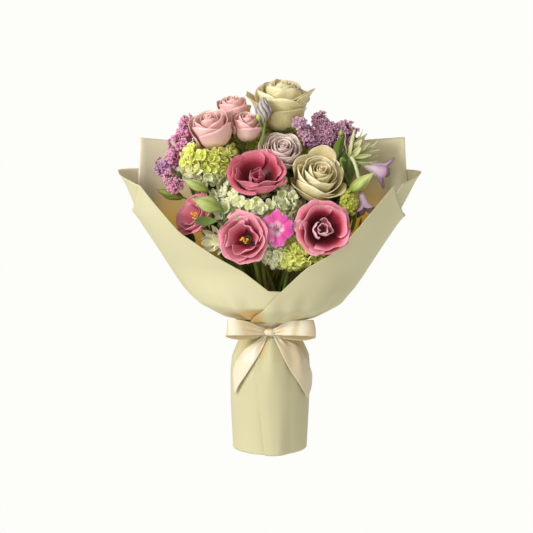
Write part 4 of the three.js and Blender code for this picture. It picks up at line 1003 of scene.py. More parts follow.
# %% Statice
STATICE = {
    "statice_left": ("statice_magenta", 2,
                     [(-107, 12, 422, 9), (-114, 2, 394, 13), (-134, 2, 366, 11), (-122, -26, 346, 8),
                      (-107, 30, 402, 11)],
                     [(0, 1), (1, 2), (2, 3), (1, 4)]),
    "statice_right": ("statice_mauve", 0,
                      [(35, -8, 424, 10), (54, 2, 404, 11), (64, 14, 427, 8), (75, 6, 413, 12),
                       (94, 10, 413, 12), (102, 4, 398, 12), (74, 1, 402, 8)],
                      [(0, 1), (1, 3), (2, 3), (3, 4), (4, 5), (3, 6)]),
}
for index, (name, (slot, pale_cluster, clusters, twig_ends)) in enumerate(STATICE.items()):
    rng = np.random.default_rng(400 + index)
    shape = floret_shape(5, 0.5, (2, 2), 0.46)
    sprays = []
    middles = [(np.add(clusters[a], clusters[b]) / 2) * (1, 1, 1, 0.8) for a, b in twig_ends]
    for number, (x, y, z, radius) in enumerate([*clusters, *middles]):
        count = int(12 + radius * 3.4)
        ways = even_directions(count, (0, -0.2, 1), 1.8) + rng.normal(0, 0.16, (count, 3))
        places = np.array([x, y, z]) + ways * radius * rng.uniform(0.45, 1.08, (count, 1))
        facing, spins = ways + rng.normal(0, 0.4, ways.shape), rng.uniform(0, 6.3, count)
        scales = rng.uniform(3.8, 5.6, count)
        keep = florets_clear(shape, places, facing, spins, scales, 3.0)
        pale = (0.5, 1.0) if number == pale_cluster else (0, 0.45)
        sprays += scatter(shape, places[keep], facing[keep], spins[keep], scales[keep],
                          rng.uniform(*pale, keep.sum()))
    piece(name + "_florets", sprays, FINISH[slot], 0.3, [name])
    ends = [np.array(c[:3], float) for c in clusters]
    twigs = [tube(curve([ends[a], (ends[a] + ends[b]) / 2 + rng.normal(0, 1.5, 3), ends[b]], 8),
                  np.full(8, 1.3), 6) for a, b in twig_ends]
    piece(name + "_twigs", twigs, FINISH["stem_green"])

# %% [markdown]
# One short table gives the half width of the paper funnel by height. The paper is made further down, but
# what grows inside the funnel already has to stay within it.

# %% Funnel table
FUNNEL = np.array([[150, 28.7], [168.5, 28.7], [175, 60], [194, 97], [212, 113], [228, 124], [271, 151],
                   [311, 177], [405, 221]], float)
print("funnel rows", len(FUNNEL))

# %% [markdown]
# ## Stems
# All stems cross at the tie, where they are held in a tight round bunch, and spread again in a slow spiral
# to the cut ends on the floor. At the tie they pack like a honeycomb, so a column and a row say where each
# one goes. Between flower and tie a stem bends round its neighbours, as in the CAD model. A smooth curve runs
# through these places; straight legs would show their corners.

# %% Stem routes
TIE_Z = 162
STEM_STEP = 6.206  # from one stem to the next in the honeycomb at the tie
FOOT_SPREAD = 2.3  # how much wider the bunch is at the floor than at the tie
FOOT_TWIST = math.radians(30)
# where a stem ends and the way it points there, for what isn't a cup-shaped bloom
TOPS = {
    "hydrangea_lime": ((-73.9, -10.6, 366.4), (-0.3, -0.4, 0.85)),
    "hydrangea_white": ((-13.2, -27.8, 310.8), (-0.05, -0.6, 0.8)),
    "hydrangea_low": ((25.9, -45.8, 261.4), (0.1, -0.75, 0.6)),
    "hydrangea_back": ((-14, 40.2, 378.5), (0, 0.35, 0.93)),
    "statice_left": ((-114, 2, 388.8), (0, 0, 1)),
    "statice_right": ((75, 6, 408.2), (0, 0, 1)),
    "bud_spray": ((-60, -50, 300), (-0.4, -0.3, 0.87)),
    "lime_bud": ((99, -53, 341), (0.6, -0.2, 0.75)),
    "striped_bud": ((-8, -21, 424), (0, -0.1, 1)),
    "bract_fan": ((97, -22, 379), (0.75, -0.1, 0.65)),
    "alstroemeria": ((112, -30, 352), (0.5, -0.2, 0.85)),
    "leaf_spray": ((86, -12, 380), (0.3, -0.2, 0.93)),
    "foliage_left": ((-56, 66, 370), (-0.4, 0.4, 0.82)),
    "foliage_right": ((50, 60, 362), (0.4, 0.4, 0.82)),
}
# the stem's column and row in the honeycomb, and the two places where it bends between flower and tie
STEMS = {
    "rose_white_top": ((-1, 2), (29.7, -2.1, 296.1), (0.8, 16.9, 202)),
    "rose_white_right": ((0, 1), (29.3, 7.5, 259.7), (7.2, 7.8, 191)),
    "rose_lilac": ((0, 0), (4.5, 11.6, 281.8), (0.5, 1.7, 196.7)),
    "rose_dusky_left": ((-1, -1), (-17.5, 17.5, 291.2), (-18.1, -7.1, 200.2)),
    "rose_dusky_high": ((-2, 2), (-63.6, -1.5, 308.5), (-12.9, 19.3, 202.7)),
    "rose_dusky_low": ((-2, 1), (-38.6, 18.9, 295.8), (-14, 4.9, 201.7)),
    "lisianthus_top": ((0, -1), (-51.3, 63.9, 314), (-1.4, -6.8, 193.2)),
    "lisianthus_left": ((1, -3), (-15.6, -39.5, 234.4), (-5.6, -24.4, 183.4)),
    "lisianthus_right": ((2, -1), (43.6, -24.2, 241.3), (16.7, -9.1, 186.1)),
    "lisianthus_side": ((-2, -1), (-49.3, -18.8, 241.9), (-24.8, -8.7, 186.3)),
    "lisianthus_white": ((-1, -2), (-42, -27.2, 232.9), (-20.2, -16.3, 183.3)),
    "lisianthus_back": ((1, 2), (45.7, 19.1, 276.7), (20.5, 15.4, 196.2)),
    "rose_back": ((-3, 2), (-48.1, 17.1, 282.1), (-22.1, 16.2, 197.4)),
    "dianthus": ((1, -2), (-8.6, -25.5, 247.3), (0.4, -17, 185.5)),
    "hydrangea_lime": ((-2, 0), (-48.2, -2.4, 274.2), (-20.9, 0.3, 195.7)),
    "hydrangea_white": ((-1, 0), (-13.8, -8.6, 243.5), (-10.3, -1.2, 185.9)),
    "hydrangea_low": ((2, -2), (19.1, -27.3, 217.1), (9.9, -16.4, 178.5)),
    "hydrangea_back": ((-1, 1), (-9.7, 22.8, 280.1), (-4.8, 9.3, 196.9)),
    "statice_left": ((-3, 1), (-79.6, 5.5, 284.4), (-28.6, 7.3, 200.1)),
    "statice_right": ((0, 2), (49.2, 12.1, 295.6), (13.4, 14.8, 202.3)),
    "bud_spray": ((0, -2), (-35, -34.1, 236.3), (-11.7, -17.2, 185.2)),
    "lime_bud": ((2, 0), (58.7, -27.5, 261.1), (22.1, -3, 193.3)),
    "striped_bud": ((1, -1), (-23.1, -1.4, 298.9), (5.8, -8.3, 204)),
    "bract_fan": ((1, 0), (106.9, 12.2, 286.2), (12.6, -0.7, 199.7)),
    "alstroemeria": ((2, 1), (70.4, -10.5, 265.8), (27.6, 5.2, 194.6)),
    "leaf_spray": ((1, 1), (85.7, 26, 292.8), (17.6, 6.9, 198.2)),
    "foliage_left": ((-2, 3), (-27.3, 49.5, 276.6), (-7, 25.1, 196.7)),
    "foliage_right": ((-1, 3), (25.3, 41.6, 272.5), (6.6, 24.7, 195.1)),
}


def stem_route(name):
    """Six places from the flower down: 0.3 mm under it, 8 mm further back, the two bends, the stem's place in
    the honeycomb at the tie, and that place turned and spread on the floor."""
    if name in CUPS:
        _, face, axis, _, height, _ = CUPS[name]
        turn, top = cup_place(face, axis, height)
    else:
        top, axis = TOPS[name]
        turn = frame_along(axis)
    (column, row), first_bend, second_bend = STEMS[name]
    x, y = (column + row / 2) * STEM_STEP, row * math.sqrt(3) / 2 * STEM_STEP
    cos, sin = FOOT_SPREAD * math.cos(FOOT_TWIST), FOOT_SPREAD * math.sin(FOOT_TWIST)
    return [top - turn[:, 2] * 0.3, top - turn[:, 2] * 8.3, first_bend, second_bend, (x, y, TIE_Z),
            (x * cos - y * sin, x * sin + y * cos, 0)]


def stem(route, rng):
    """A ten-sided tube through the route, 2 mm in radius at the flower and 2.9 mm from the tie down."""
    path = curve(route, 44)
    share = np.linspace(0, 1, len(path))
    radii = blend(2.0, 2.9, smooth(share, 0, 0.7)) * (1 + 0.05 * np.sin(share * 40 + rng.uniform(0, 6)))
    return tube(path, radii, 10, rng.uniform(0, 0.8))


rng = np.random.default_rng(7)
piece("stems", [stem(stem_route(name), rng) for name in STEMS], FINISH["stem_green"],
      nodes=[name + "_stem" for name in STEMS])

# %% [markdown]
# ## Buds, leaves and bracts
# A bud is a spindle whose cross-section has five soft folds that twist towards its tip, like furled petals.
# Overlapping petals would be truer, but at this size only the folds between them show. Three slim sepals
# hold it at its root. The striped bud is the same form with more folds, and its tint marks their hollows.

# %% Buds
FOLD_DEPTH = 0.16


def bud(base, tip, width, folds=5, twist=1.6, tint=0.4, form=(0.72, 0.75, 0.45), stripes=0.0):
    """A closed spindle from base to tip. Its radius follows a lopsided sine: form is the power that moves its
    widest place, the power that rounds it and how much its tip narrows. Its folds twist along it, and
    stripes darkens the hollows between them."""
    u, v = grid(60, 26)
    base, tip = np.asarray(base, float), np.asarray(tip, float)
    length = np.linalg.norm(tip - base)
    low, bulge, narrow = form
    profile = np.sin(math.pi * np.clip(v, 0, 1) ** low) ** bulge * (1 - narrow * smooth(v, 0.55, 1)) + 0.02
    angle = u * 2 * math.pi
    ridge = np.abs(np.sin(folds * (angle + twist * v) / 2)) ** 0.6
    fold = 1 - FOLD_DEPTH + 1.6 * FOLD_DEPTH * ridge * smooth(v, 0.1, 0.5)
    out = width / 2 * profile * fold
    points = xyz(out * np.cos(angle), out * np.sin(angle), v * length)
    skin = patch(points, tint + stripes * (1 - smooth(ridge, 0.3, 0.8)))
    return placed([skin], frame_along(tip - base), base)[0]


BUDS = [((-77, -50, 342), (-109, -55, 358), 13, 0.2), ((-59, -76, 322), (-97, -85, 337), 19, 0.35),
        ((-111, -15, 330), (-146, -19, 341), 14, 0.9), ((98, -52, 340), (131, -60, 367), 15, 0.0)]
buds = [bud(base, tip, width, tint=tint) for base, tip, width, tint in BUDS]
buds += [bud((90, -12, 408), (91, -12, 418), 6), bud((-14, -27, 428), (-15, -28, 440), 7, tint=0.1)]
piece("lisianthus_buds", buds, FINISH["bud_skin"])


def bud_sepals(base, tip, width):
    """Three slim sepals that leave a bud's root and end 0.62 of the way along it."""
    base, along = np.asarray(base, float), np.subtract(tip, base)
    turn = frame_along(along)
    sheets = []
    for index in range(3):
        way = index * 2.1 + 0.5
        out = turn @ np.array([math.cos(way), math.sin(way), 0])
        side = turn @ np.array([-math.sin(way), math.cos(way), 0])
        sheets.append(leaf(base, base + along * 0.62 + out * width * 0.5, width * 0.3, side, 0.13, 0.0, 0.8))
    return sheets


sepals = [sheet for base, tip, width, _ in BUDS for sheet in bud_sepals(base, tip, width)]
piece("bud_sepals", sepals, FINISH["leaf_green"], 0.4)
striped = bud((-9, -21, 424), (-8, -20, 459), 19, folds=8, twist=2.6, tint=0.0, form=(1.05, 0.62, 0.2),
              stripes=0.9)
piece("striped_bud", [striped], FINISH["striped_skin"])

# %% [markdown]
# Side stalks carry the buds and the hanging blooms, and leaves grow beside them. Each is given by its ends,
# as a florist would place it, because these few are seen one by one.

# %% Side stalks and leaves
def stalk(points, radii=(1.6, 1.2)):
    """A thin tube through a few points; its radius goes evenly from the first one to the second."""
    return tube(curve(points, 10), np.linspace(*radii, 10), 8, 0.5)


BUD_SPRAY = (-59.9, -49.9, 299.7)
stalks = [
    stalk([BUD_SPRAY, (-64, -55, 322), (-77, -51, 343)]),
    stalk([BUD_SPRAY, (-56, -66, 312), (-60, -75.5, 323)]),
    stalk([BUD_SPRAY, (-84, -24, 318), (-112, -15, 331)]),
    stalk([(112, -30, 350), (112, -27, 366), (115.4, -25.4, 374.3), (117.5, -25.9, 374.1)]),
    stalk([(112, -30, 350), (112.2, -37, 355), (112.3, -42.4, 350.4), (112.9, -43.8, 346.5)]),
    stalk([(86, -12, 379), (88, -13, 398), (90, -12, 410)]),
    stalk([(-8, -21, 419), (-12, -25, 423), (-14, -27, 429)], (0.9, 1.1)),
]
piece("side_stalks", stalks, FINISH["stem_green"])
piece("pale_stalk", [stalk([(103, -27, 384), (108, -32, 374), (112, -35, 358), (111, -35, 350)], (2.6, 2.0))],
      FINISH["pale_stem"])
leaves = [
    leaf((85, -12, 378), (92, -24, 409), 13, (1, 0.3, 0)),
    leaf((86, -11, 376), (66, 2, 398), 12, (0.3, 0.9, 0)),
    leaf((92, -8, 362), (99, -6, 394), 17, (1, 0.2, 0)),
    leaf((97, -8, 342), (108, -4, 386), 18, (1, 0.2, 0)),
    leaf((-66, -76, 308), (-94, -90, 309), 12, (0.2, 0.3, 1)),
    leaf((-116, -10, 352), (-126, -32, 368), 7, (1, 0, 0.2)),
    leaf((-114, -14, 350), (-116, -36, 366), 7, (1, 0, 0.2)),
    leaf((-114, -8, 352), (-134, -26, 360), 7, (0.2, 0, 1)),
]
piece("green_leaves", leaves, FINISH["leaf_green"], 0.4)
mint = [
    leaf((-58, -56, 306), (-44, -76, 322), 13, (0, 0.4, 1)),
    leaf((-57, -60, 304), (-58, -82, 326), 12, (1, 0, 0)),
    leaf((-55, -60, 302), (-38, -80, 312), 11, (0, 0.4, 1)),
]
piece("mint_leaves", mint, FINISH["mint_leaf"], 0.4)

# %% [markdown]
# Between the flowers a few small things show: a coral bud and a white star on the left, and dull olive
# florets on the right. They reuse the leaf and the floret, since each is only a few millimetres wide.

# %% Small fillers
coral = [
    leaf((-99, -22, 368), (-106, -32, 386), 11, (1, -0.3, 0.3)),
    leaf((-99, -22, 366), (-110, -28, 378), 10, (0.3, -1, 0.4)),
]
piece("coral_petals", coral, FINISH["lisianthus"], 0.4)
star = [leaf((-93, -36, 362), tip, 8, side) for tip, side in (
    ((-107, -44, 374), (0.6, 0.3, 0.7)), ((-101, -50, 360), (1, 0, 0.5)), ((-84, -50, 368), (0, 0.4, 1)),
    ((-109, -42, 362), (0.2, 0.4, 1)), ((-92, -50, 376), (1, 0, 0)))]
piece("star_petals", star, FINISH["white_petal"], 0.4)
rng = np.random.default_rng(61)
ways = even_directions(34, (0, -0.8, 0.5), 1.6)
places = np.array([99.0, -58, 328]) + ways * (10, 8, 13) * rng.uniform(0.6, 1.05, (34, 1))
free = outside_cups(places, 1.5)
places, ways = places[free], ways[free]
olive = scatter(floret_shape(4, 0.4), places, ways, rng.uniform(0, 6.3, len(places)),
                rng.uniform(3.2, 4.6, len(places)), rng.uniform(0.7, 1, len(places)))
piece("olive_florets", olive, FINISH["lime_floret"], 0.3)

# %% [markdown]
# Deep among the stems the real bouquet is nearly black, because leaves take the light. Real leaves at random
# places do the same here, and their deep green is painted shade. Whatever would stand outside the paper is
# drawn in towards the axis, which keeps the leaf whole; cutting it off would leave a straight edge.

# %% Dark leaves inside
def tucked(sheets):
    """The same sheets, but what would stand outside the wrap is drawn in, to lie against the paper: X and Y
    are divided by how many times too far out a point is, on an ellipse half as deep as it is wide."""
    def draw_in(points):
        reach = np.interp(points[:, 2], FUNNEL[:, 0], FUNNEL[:, 1]) - 15
        pull = 1 / np.maximum(1, np.hypot(points[:, 0] / reach, points[:, 1] / (reach * 0.5)))
        return np.column_stack([points[:, 0] * pull, points[:, 1] * pull, points[:, 2]])
    return reshaped(sheets, draw_in)


def filler(rng, count=170):
    """Dark leaves 24 to 38 mm long that rise steeply from random places inside the wrap, clear of the
    blooms."""
    x, y, z = rng.uniform(-1, 1, count) * 104, rng.uniform(-1, 1, count) * 58, rng.uniform(262, 372, count)
    reach = np.interp(z, FUNNEL[:, 0], FUNNEL[:, 1]) - 34
    keep = (np.hypot(x / reach, y / (reach * 0.5)) < 1) & (np.hypot(x / 112, (z - 250) / 128) < 1)
    sheets = []
    for base in np.stack([x, y, z], axis=1)[keep]:
        way = np.array([base[0] / 90 + rng.normal(0, 0.35), base[1] / 70 + rng.normal(0, 0.35), 1.0])
        tip = base + way / np.linalg.norm(way) * rng.uniform(24, 38)
        if min(base[1], tip[1]) > -32 and outside_cups(np.array([base, tip, (base + tip) / 2]), 4.0).all():
            side = np.cross(way, (rng.normal(), rng.normal(), 0))
            sheets.append(leaf(base, tip, rng.uniform(9, 14), side, 0.1, 0.4, rng.uniform(0, 0.8)))
    return sheets


piece("filler_leaves", tucked(filler(np.random.default_rng(77))), FINISH["painted_shade_leaf"], 0.4)

# %% [markdown]
# Two leafy twigs fill the back. Their leaves leave the stem a golden turn apart, like the rose's petals.

# %% Foliage at the back
def leafy(route, start, rng, count=9, length=44):
    """Leaves near the top of a stem, each a golden turn on from the one above. The first is nearly upright,
    and the others lean out."""
    path = curve(route[:4], 40)
    axis = path[0] - path[4]
    turn = frame_along(axis)
    sheets = []
    for index in range(count):
        way_round = start + index * GOLDEN
        lean = 0.15 if index == 0 else rng.uniform(0.7, 1.0)
        way = turn @ np.array([math.cos(way_round) * lean, math.sin(way_round) * lean, 1.0])
        way /= np.linalg.norm(way)
        side = turn @ np.array([-math.sin(way_round), math.cos(way_round), 0])
        base = path[int(index * 2.2)]
        long = length * rng.uniform(0.8, 1.05)
        sheets.append(leaf(base, base + way * long, long * 0.44, side, 0.09, 0.6, rng.uniform(0, 0.7)))
    return sheets


rng = np.random.default_rng(21)
foliage = leafy(stem_route("foliage_left"), 0.3, rng) + leafy(stem_route("foliage_right"), 1.1, rng)
piece("foliage", tucked(foliage), FINISH["leaf_green"], 0.4)

# %% [markdown]
# At the right a stem ends in a fan of slim pale bracts. They all leave one point, so directions are spread
# evenly over a cone and each bract is a leaf along one of them.

# %% Bract fan
def bract_fan(rng, base, axis):
    """Slim pointed bracts that fan out of one point, 34 to 46 mm long, and a fifth shorter at its rim."""
    sheets = []
    ways = even_directions(22, axis, 0.5)
    for index, way in enumerate(ways):
        long = rng.uniform(34, 46) * (0.8 if index > 14 else 1)
        tip = base + way * long + np.array([rng.normal(0, 1.5), rng.normal(0, 1.5), rng.normal(0, 1.5)])
        side = np.cross(way, axis) if index else np.array([0, 1.0, 0])
        sheets.append(leaf(base + way * 1.5, tip, rng.uniform(7, 10), side, rng.uniform(-0.06, 0.1), 0.3,
                           rng.uniform(0, 0.8)))
    return sheets


fan_axis = frame_along(TOPS["bract_fan"][1])[:, 2]
fan_base = stem_route("bract_fan")[0] + fan_axis * 4.4  # mm past the stem's end
piece("bracts", bract_fan(np.random.default_rng(31), fan_base, fan_axis), FINISH["bract"], 0.4,
      ["bract_fan"])

# %% [markdown]
# Two mauve alstroemeria hang out on the right. Each is a slim tube that opens into six narrow petals, three
# and three, and the petal function makes them too: a spine that stays near the axis gives a trumpet.

# %% Alstroemeria
def alstroemeria(rng, radius, height):
    """Six narrow petals in two rings of three, on a slim tube."""
    patches = []
    for ring, (reach, half) in enumerate([(0.95, 44), (0.8, 36)]):
        for index in range(3):
            spine = [(radius * 0.1, 0), (radius * 0.3, height * 0.3), (radius * 0.36, height * 0.75),
                     (radius * reach, height)]
            patches.append(petal(
                rng, 0.2 + ring * math.pi / 3 + index * 2 * math.pi / 3, math.radians(half), spine,
                roll=radius * 0.1, ruffle=radius * 0.03, tilt=0.03, rounding=0.4, size=(12, 14),
                tint=rng.uniform(0, 0.5)))
    u, v = grid(12, 4)
    out, angle = blend(0.8, radius * 0.22, v), u * 2 * math.pi
    patches.append(patch(xyz(out * np.cos(angle), out * np.sin(angle), v * height * 0.3), 0.3))
    return patches


for index, (name, root, axis, radius, height) in enumerate([
        ("alstroemeria_upper", (118, -26, 374), (0.88, -0.2, -0.3), 22, 36),
        ("alstroemeria_lower", (113, -44, 346), (0.22, -0.36, -0.9), 16, 34)]):
    petals = alstroemeria(np.random.default_rng(50 + index), radius, height)
    piece(name + "_petals", placed(petals, frame_along(axis), np.asarray(root, float)),
          FINISH["mauve_petal"], 0.4, [name])

# %% [markdown]
# ## The paper wrap
# Four sheets of cream paper stand round the flowers. They could be draped by a cloth simulation, but stiff
# paper hardly drapes, and its outline has to be exact. So each sheet is cut from one funnel that is round at
# the neck and flatter above. The funnel's radius comes from a short table, softened so that no ring shows.

# %% Funnel
LEAN = -2.8  # how far the lower funnel stands to the left
FRONT_DEPTH, BACK_DEPTH = 0.62, 0.525  # the funnel's depth over its half width, in front and behind
LAYER_STEP, LAYER_LOOSE = 1.7, 3.8  # from one sheet to the next, at the neck and at the open end


def softened(table, reach, step=0.5):
    """A table of (height, radius) as heights and radii, averaged over reach each way."""
    z = np.arange(table[0, 0] - 4 * reach, table[-1, 0] + 4 * reach, step)
    slope = (table[-1, 1] - table[-2, 1]) / (table[-1, 0] - table[-2, 0])
    r = np.interp(z, table[:, 0], table[:, 1]) + np.maximum(0, z - table[-1, 0]) * slope
    window = np.hanning(2 * int(reach / step) + 1)
    window /= window.sum()
    side = len(window) // 2
    beyond = r[-1] + slope * step * np.arange(1, 1 + side)
    padded = np.concatenate([np.full(side, r[0]), r, beyond])
    return z, np.convolve(padded, window, "valid")


FUNNEL_Z, FUNNEL_R = softened(FUNNEL, 5)


def half_turn(angle):
    """The same angle, between -pi and pi."""
    return np.mod(angle + math.pi, 2 * math.pi) - math.pi


def pleats(angle, z):
    """Small gathers just above the neck, where the paper is bunched: sines of the angle that fade upwards."""
    wave = np.sin(11 * angle + 0.6) + 0.7 * np.sin(17 * angle + 2.1) + 0.5 * np.sin(26 * angle)
    return 1.5 * wave * smooth(z, 166, 175) * (1 - smooth(z, 180, 232))


def tuck(angle, z):
    """A fold beside the bow, on the left in front: below a line that rises to the right the paper steps
    in. 1 in the fold and 0 outside it."""
    line = 194 + 16 * (angle + 0.17)
    across = smooth(angle, -1.05, -0.7) * (1 - smooth(angle, -0.22, -0.02))
    return across * smooth(line - z, -1, 4) * smooth(z, 164, 172)


def waves(angle, z):
    """Slow swells of the free paper, up to a millimetre."""
    return (np.sin(3 * angle + z / 60) + 0.6 * np.sin(5 * angle - z / 45 + 1)) * 0.9 * smooth(z, 220, 320)


def on_funnel(angle, z, inset):
    """A place on a layer: the radius by height, squeezed front to back above the neck, moved inwards."""
    angle = half_turn(angle)
    r = np.interp(z, FUNNEL_Z, FUNNEL_R) + pleats(angle, z) + waves(angle, z) - 4.0 * tuck(angle, z)
    run = (np.interp(z + 3, FUNNEL_Z, FUNNEL_R) - np.interp(z - 3, FUNNEL_Z, FUNNEL_R)) / 6
    length = np.sqrt(1 + run**2)
    half, height = r - inset / length, z + inset * run / length
    depth = blend(1, blend(BACK_DEPTH, FRONT_DEPTH, 0.5 + 0.5 * np.cos(angle)), smooth(z, 165, 245))
    aside = LEAN * smooth(z, 172, 206) * (1 - smooth(z, 290, 350))
    return half * np.sin(angle) + aside, -half * depth * np.cos(angle), height


print("funnel radius at the neck and at 400 mm",
      [round(float(np.interp(z, FUNNEL_Z, FUNNEL_R)), 1) for z in (150, 400)])

# %% [markdown]
# A sheet is given by two outlines, as seen from the front: one for its front part and one for its back part,
# which meet at a depth called split. Its edge is found column by column: each column climbs the funnel until
# it leaves the outline. Cutting a mesh with a boolean would leave long thin faces along that edge.

# %% Outlines of the sheets
SHEETS = {
    # layer from the outside in, split, front outline, back outline
    "wrap_back_tall": (3, -10,
                       [(-178, 140), (178, 140), (178, 330), (60, 175), (-60, 175), (-178, 330)],
                       [(-171, 140), (177, 140), (177, 404), (120, 398), (40, 390), (-40, 390), (-120, 397),
                        (-171, 403)]),
    "wrap_back_wide": (2, 0,
                       [(-205, 140), (205, 140), (205, 366), (190, 362), (158, 350), (120, 270), (50, 205),
                        (-50, 205), (-120, 270), (-160, 350), (-195, 363), (-205, 366)],
                       [(-205, 140), (205, 140), (205, 364), (165, 362), (60, 356), (-60, 356), (-165, 363),
                        (-205, 366)]),
    "wrap_front_left": (1, 0,
                        [(40, 140), (30, 180), (16, 219), (-2, 220), (-34, 244), (-69, 264), (-112, 294),
                         (-149, 337), (-161, 352), (-166, 338), (-172, 320), (-182, 306), (-182, 140)],
                        [(40, 140), (20, 178), (-30, 200), (-171, 311), (-182, 311), (-182, 140)]),
    "wrap_front_right": (0, 0,
                         [(-40, 140), (-36, 157), (-20, 184), (9, 215), (46, 249), (72, 264), (99, 289),
                          (136, 334), (152, 353), (157, 336), (166, 316), (178, 302), (178, 140)],
                         [(-40, 140), (-20, 178), (40, 200), (169, 306), (178, 306), (178, 140)]),
}


def inside(outline, x, z):
    """True where a point lies in a polygon: it counts the edges crossed by a ray to the right."""
    edges = np.array(outline, float)
    ends = np.roll(edges, -1, axis=0)
    result = np.zeros(np.shape(x), bool)
    for (x0, z0), (x1, z1) in zip(edges, ends):
        if z0 != z1:
            result ^= ((z0 > z) != (z1 > z)) & (x < (x1 - x0) * (z - z0) / (z1 - z0) + x0)
    return result


def corner_angles(layer, outline, front):
    """The funnel angle of each corner of an outline, so that the sheet has a column exactly there."""
    found = []
    for x, z in outline:
        half = np.interp(z, FUNNEL_Z, FUNNEL_R) - layer * 3.0
        if z > 160 and abs(x) < half:
            angle = math.asin(x / half)
            found.append(angle if front else math.pi - angle)
    return found


print("sheets", ", ".join(SHEETS))

# %% [markdown]
# The upper edges of real paper are never dead flat: they curl outwards by a few millimetres. The thickness
# comes from Solidify. The tint carries painted shade and light: above 0 it is a painted golden shade, deep in
# the folds at the neck, and below 0 it is painted light, paler high on the back sheets, where light comes
# through them.

# %% Shape of a sheet
def layer_inset(layer, z):
    """How far a layer stands inside the outermost one."""
    return layer * blend(LAYER_STEP, LAYER_LOOSE, smooth(z, 166, 196))


def painted_paper_shade_and_light(angle, x, z, height):
    """Painted shade and light on the paper: the share of golden painted shade in the folds at the neck and
    the fold beside the bow, less the share of painted light at the upper left and upper right.
    """
    golden = np.clip(0.3 - 0.5 * pleats(angle, z), 0, 1) * (1 - smooth(z, 168, 204)) * 0.6
    golden = np.maximum(golden, 0.7 * tuck(half_turn(angle), z))
    return golden - (0.9 * smooth(-x, 70, 125) + 0.36 * smooth(x, 50, 110)) * smooth(height, 270, 350)


def paper_sheet(layer, split, front, back, columns=260, rows=64):
    """Columns round the funnel from the neck to where each one leaves the outline, with a curl at the
    top."""
    angles = np.concatenate([np.linspace(0, 2 * math.pi, columns, endpoint=False),
                             np.mod(corner_angles(layer, front, True) + corner_angles(layer, back, False),
                                    2 * math.pi)])
    angles = np.unique(np.round(angles, 5))
    z = np.arange(152, 408, 0.25)
    a, zz = np.meshgrid(angles, z, indexing="ij")
    x, y, height = on_funnel(a, zz, layer_inset(layer, zz))
    kept = np.where(y < split, inside(front, x, height), inside(back, x, height))
    outside = np.concatenate([~kept, np.ones((len(angles), 1), bool)], axis=1)
    top = z[np.minimum(np.argmax(outside, axis=1), len(z) - 1)]
    v = np.linspace(0, 1, rows)
    share = blend(v, v**1.25, 0.5)
    zz = 150 + (top[:, None] - 150) * share[None, :]
    a = np.broadcast_to(angles[:, None], zz.shape)
    near_edge = np.clip(1 - (top[:, None] - zz) / 16, 0, 1) ** 2
    curl = 2.2 * near_edge * smooth(top[:, None], 230, 300)
    x, y, height = on_funnel(a, zz, layer_inset(layer, zz) - curl)
    points, tint = xyz(x, y, height), painted_paper_shade_and_light(a, x, zz, height)
    return [patch(np.concatenate([points, points[:1]], axis=0), np.concatenate([tint, tint[:1]], axis=0))]


print("the inmost layer stands", round(float(layer_inset(3, 400)), 1), "mm inside the outermost")

# %% [markdown]
# The paper is matt and cream, with a fine tooth that only a bump can give, since it is far smaller than a
# face. Thin paper also lets light through. Real translucency would need many light bounces inside the wrap,
# so that light is painted instead: the inner side of the back sheets has a painted golden glow, an emission
# in a band low down, and painted light makes it paler where its tint is below 0. The golden colour in the
# folds at the neck is painted shade.

# %% Paper finish and sheets
def paper_finish(name, through=0.0):
    """Cream paper: matt, faintly mottled, with a fine tooth, and a golden painted shade where its tint is
    above 0.
    through is the strength of a painted golden glow, an emission that stands in for light that comes through
    the paper; where it isn't 0, a tint below 0 makes the paper pale, as painted light."""
    material, nodes, links, shader = new_material(name)
    mottle = use_group(nodes, MOTTLE, {"Large": 9.0, "Fine": 700.0})
    broad = scaled(nodes, links, mottle.outputs["Broad"], 1.6, -0.3)
    colour = mix(nodes, links, "MIX", linear((190, 184, 143)), linear((199, 193, 156)), broad)
    tint = tint_of(nodes)
    # painted shade: where the tint is above 0 the paper turns golden, in the folds at the neck
    colour = mix(nodes, links, "MIX", colour, linear((206, 158, 72)), tint)
    if through:
        # painted light: a tint below 0 makes the inner side paler, and a golden band of emission is a painted
        # glow
        pale = scaled(nodes, links, tint, -1.0)
        colour = mix(nodes, links, "MIX", colour, linear((236, 230, 202)), pale)
        painted_glow_band = [(0.36, (0, 0, 0)), (0.5, (226, 166, 8)), (0.64, (226, 166, 8)), (0.84, (0, 0, 0))]
        glow = ramp(nodes, links, painted_glow_band, along_sheet(nodes, links))
        links.new(glow, shader.inputs["Emission Color"])
        shader.inputs["Emission Strength"].default_value = through
    links.new(colour, shader.inputs["Base Color"])
    raised(nodes, links, shader, mottle.outputs["Tooth"], 0.12, 0.0004)
    set_values(shader, {
        "Roughness": 0.62, "Subsurface Weight": 0.12, "Subsurface Radius": (1.0, 0.8, 0.45),
        "Subsurface Scale": 0.004})
    return material


FINISH["paper"] = paper_finish("cream_paper")
FINISH["paper_inside"] = paper_finish("cream_paper_inside_painted_glow", 0.3)
for name, (layer, split, front, back) in SHEETS.items():
    piece(name + "_paper", paper_sheet(layer, split, front, back), FINISH["paper"], 0.5, [name],
          FINISH["paper_inside"] if "back" in name else None)

# %% [markdown]
# ## The rolled foot
# Below the tie one more sheet is rolled round the stems, a little more than a full turn, so that it laps
# over itself in front. The bow gathers it at the top, so pleats run down from there and fade out. A cylinder
# would do for the form, but not for the lap, so this is one sheet whose u goes round a bit more than once.

# %% Foot
FOOT = np.array([[0, 48.5], [60, 51.4], [104, 51.6], [123, 49.4], [140, 41.5], [151, 32], [158, 30.4],
                 [168, 30.4]], float)


def foot_radius(z):
    """The foot's radius by height, softened over 5 mm each way and held at its ends."""
    heights = np.arange(0, 168.5, 0.5)
    radii = np.interp(heights, FOOT[:, 0], FOOT[:, 1])
    window = np.hanning(21) / np.hanning(21).sum()
    soft = np.convolve(np.pad(radii, 10, mode="edge"), window, "valid")
    return np.interp(z, heights, soft)


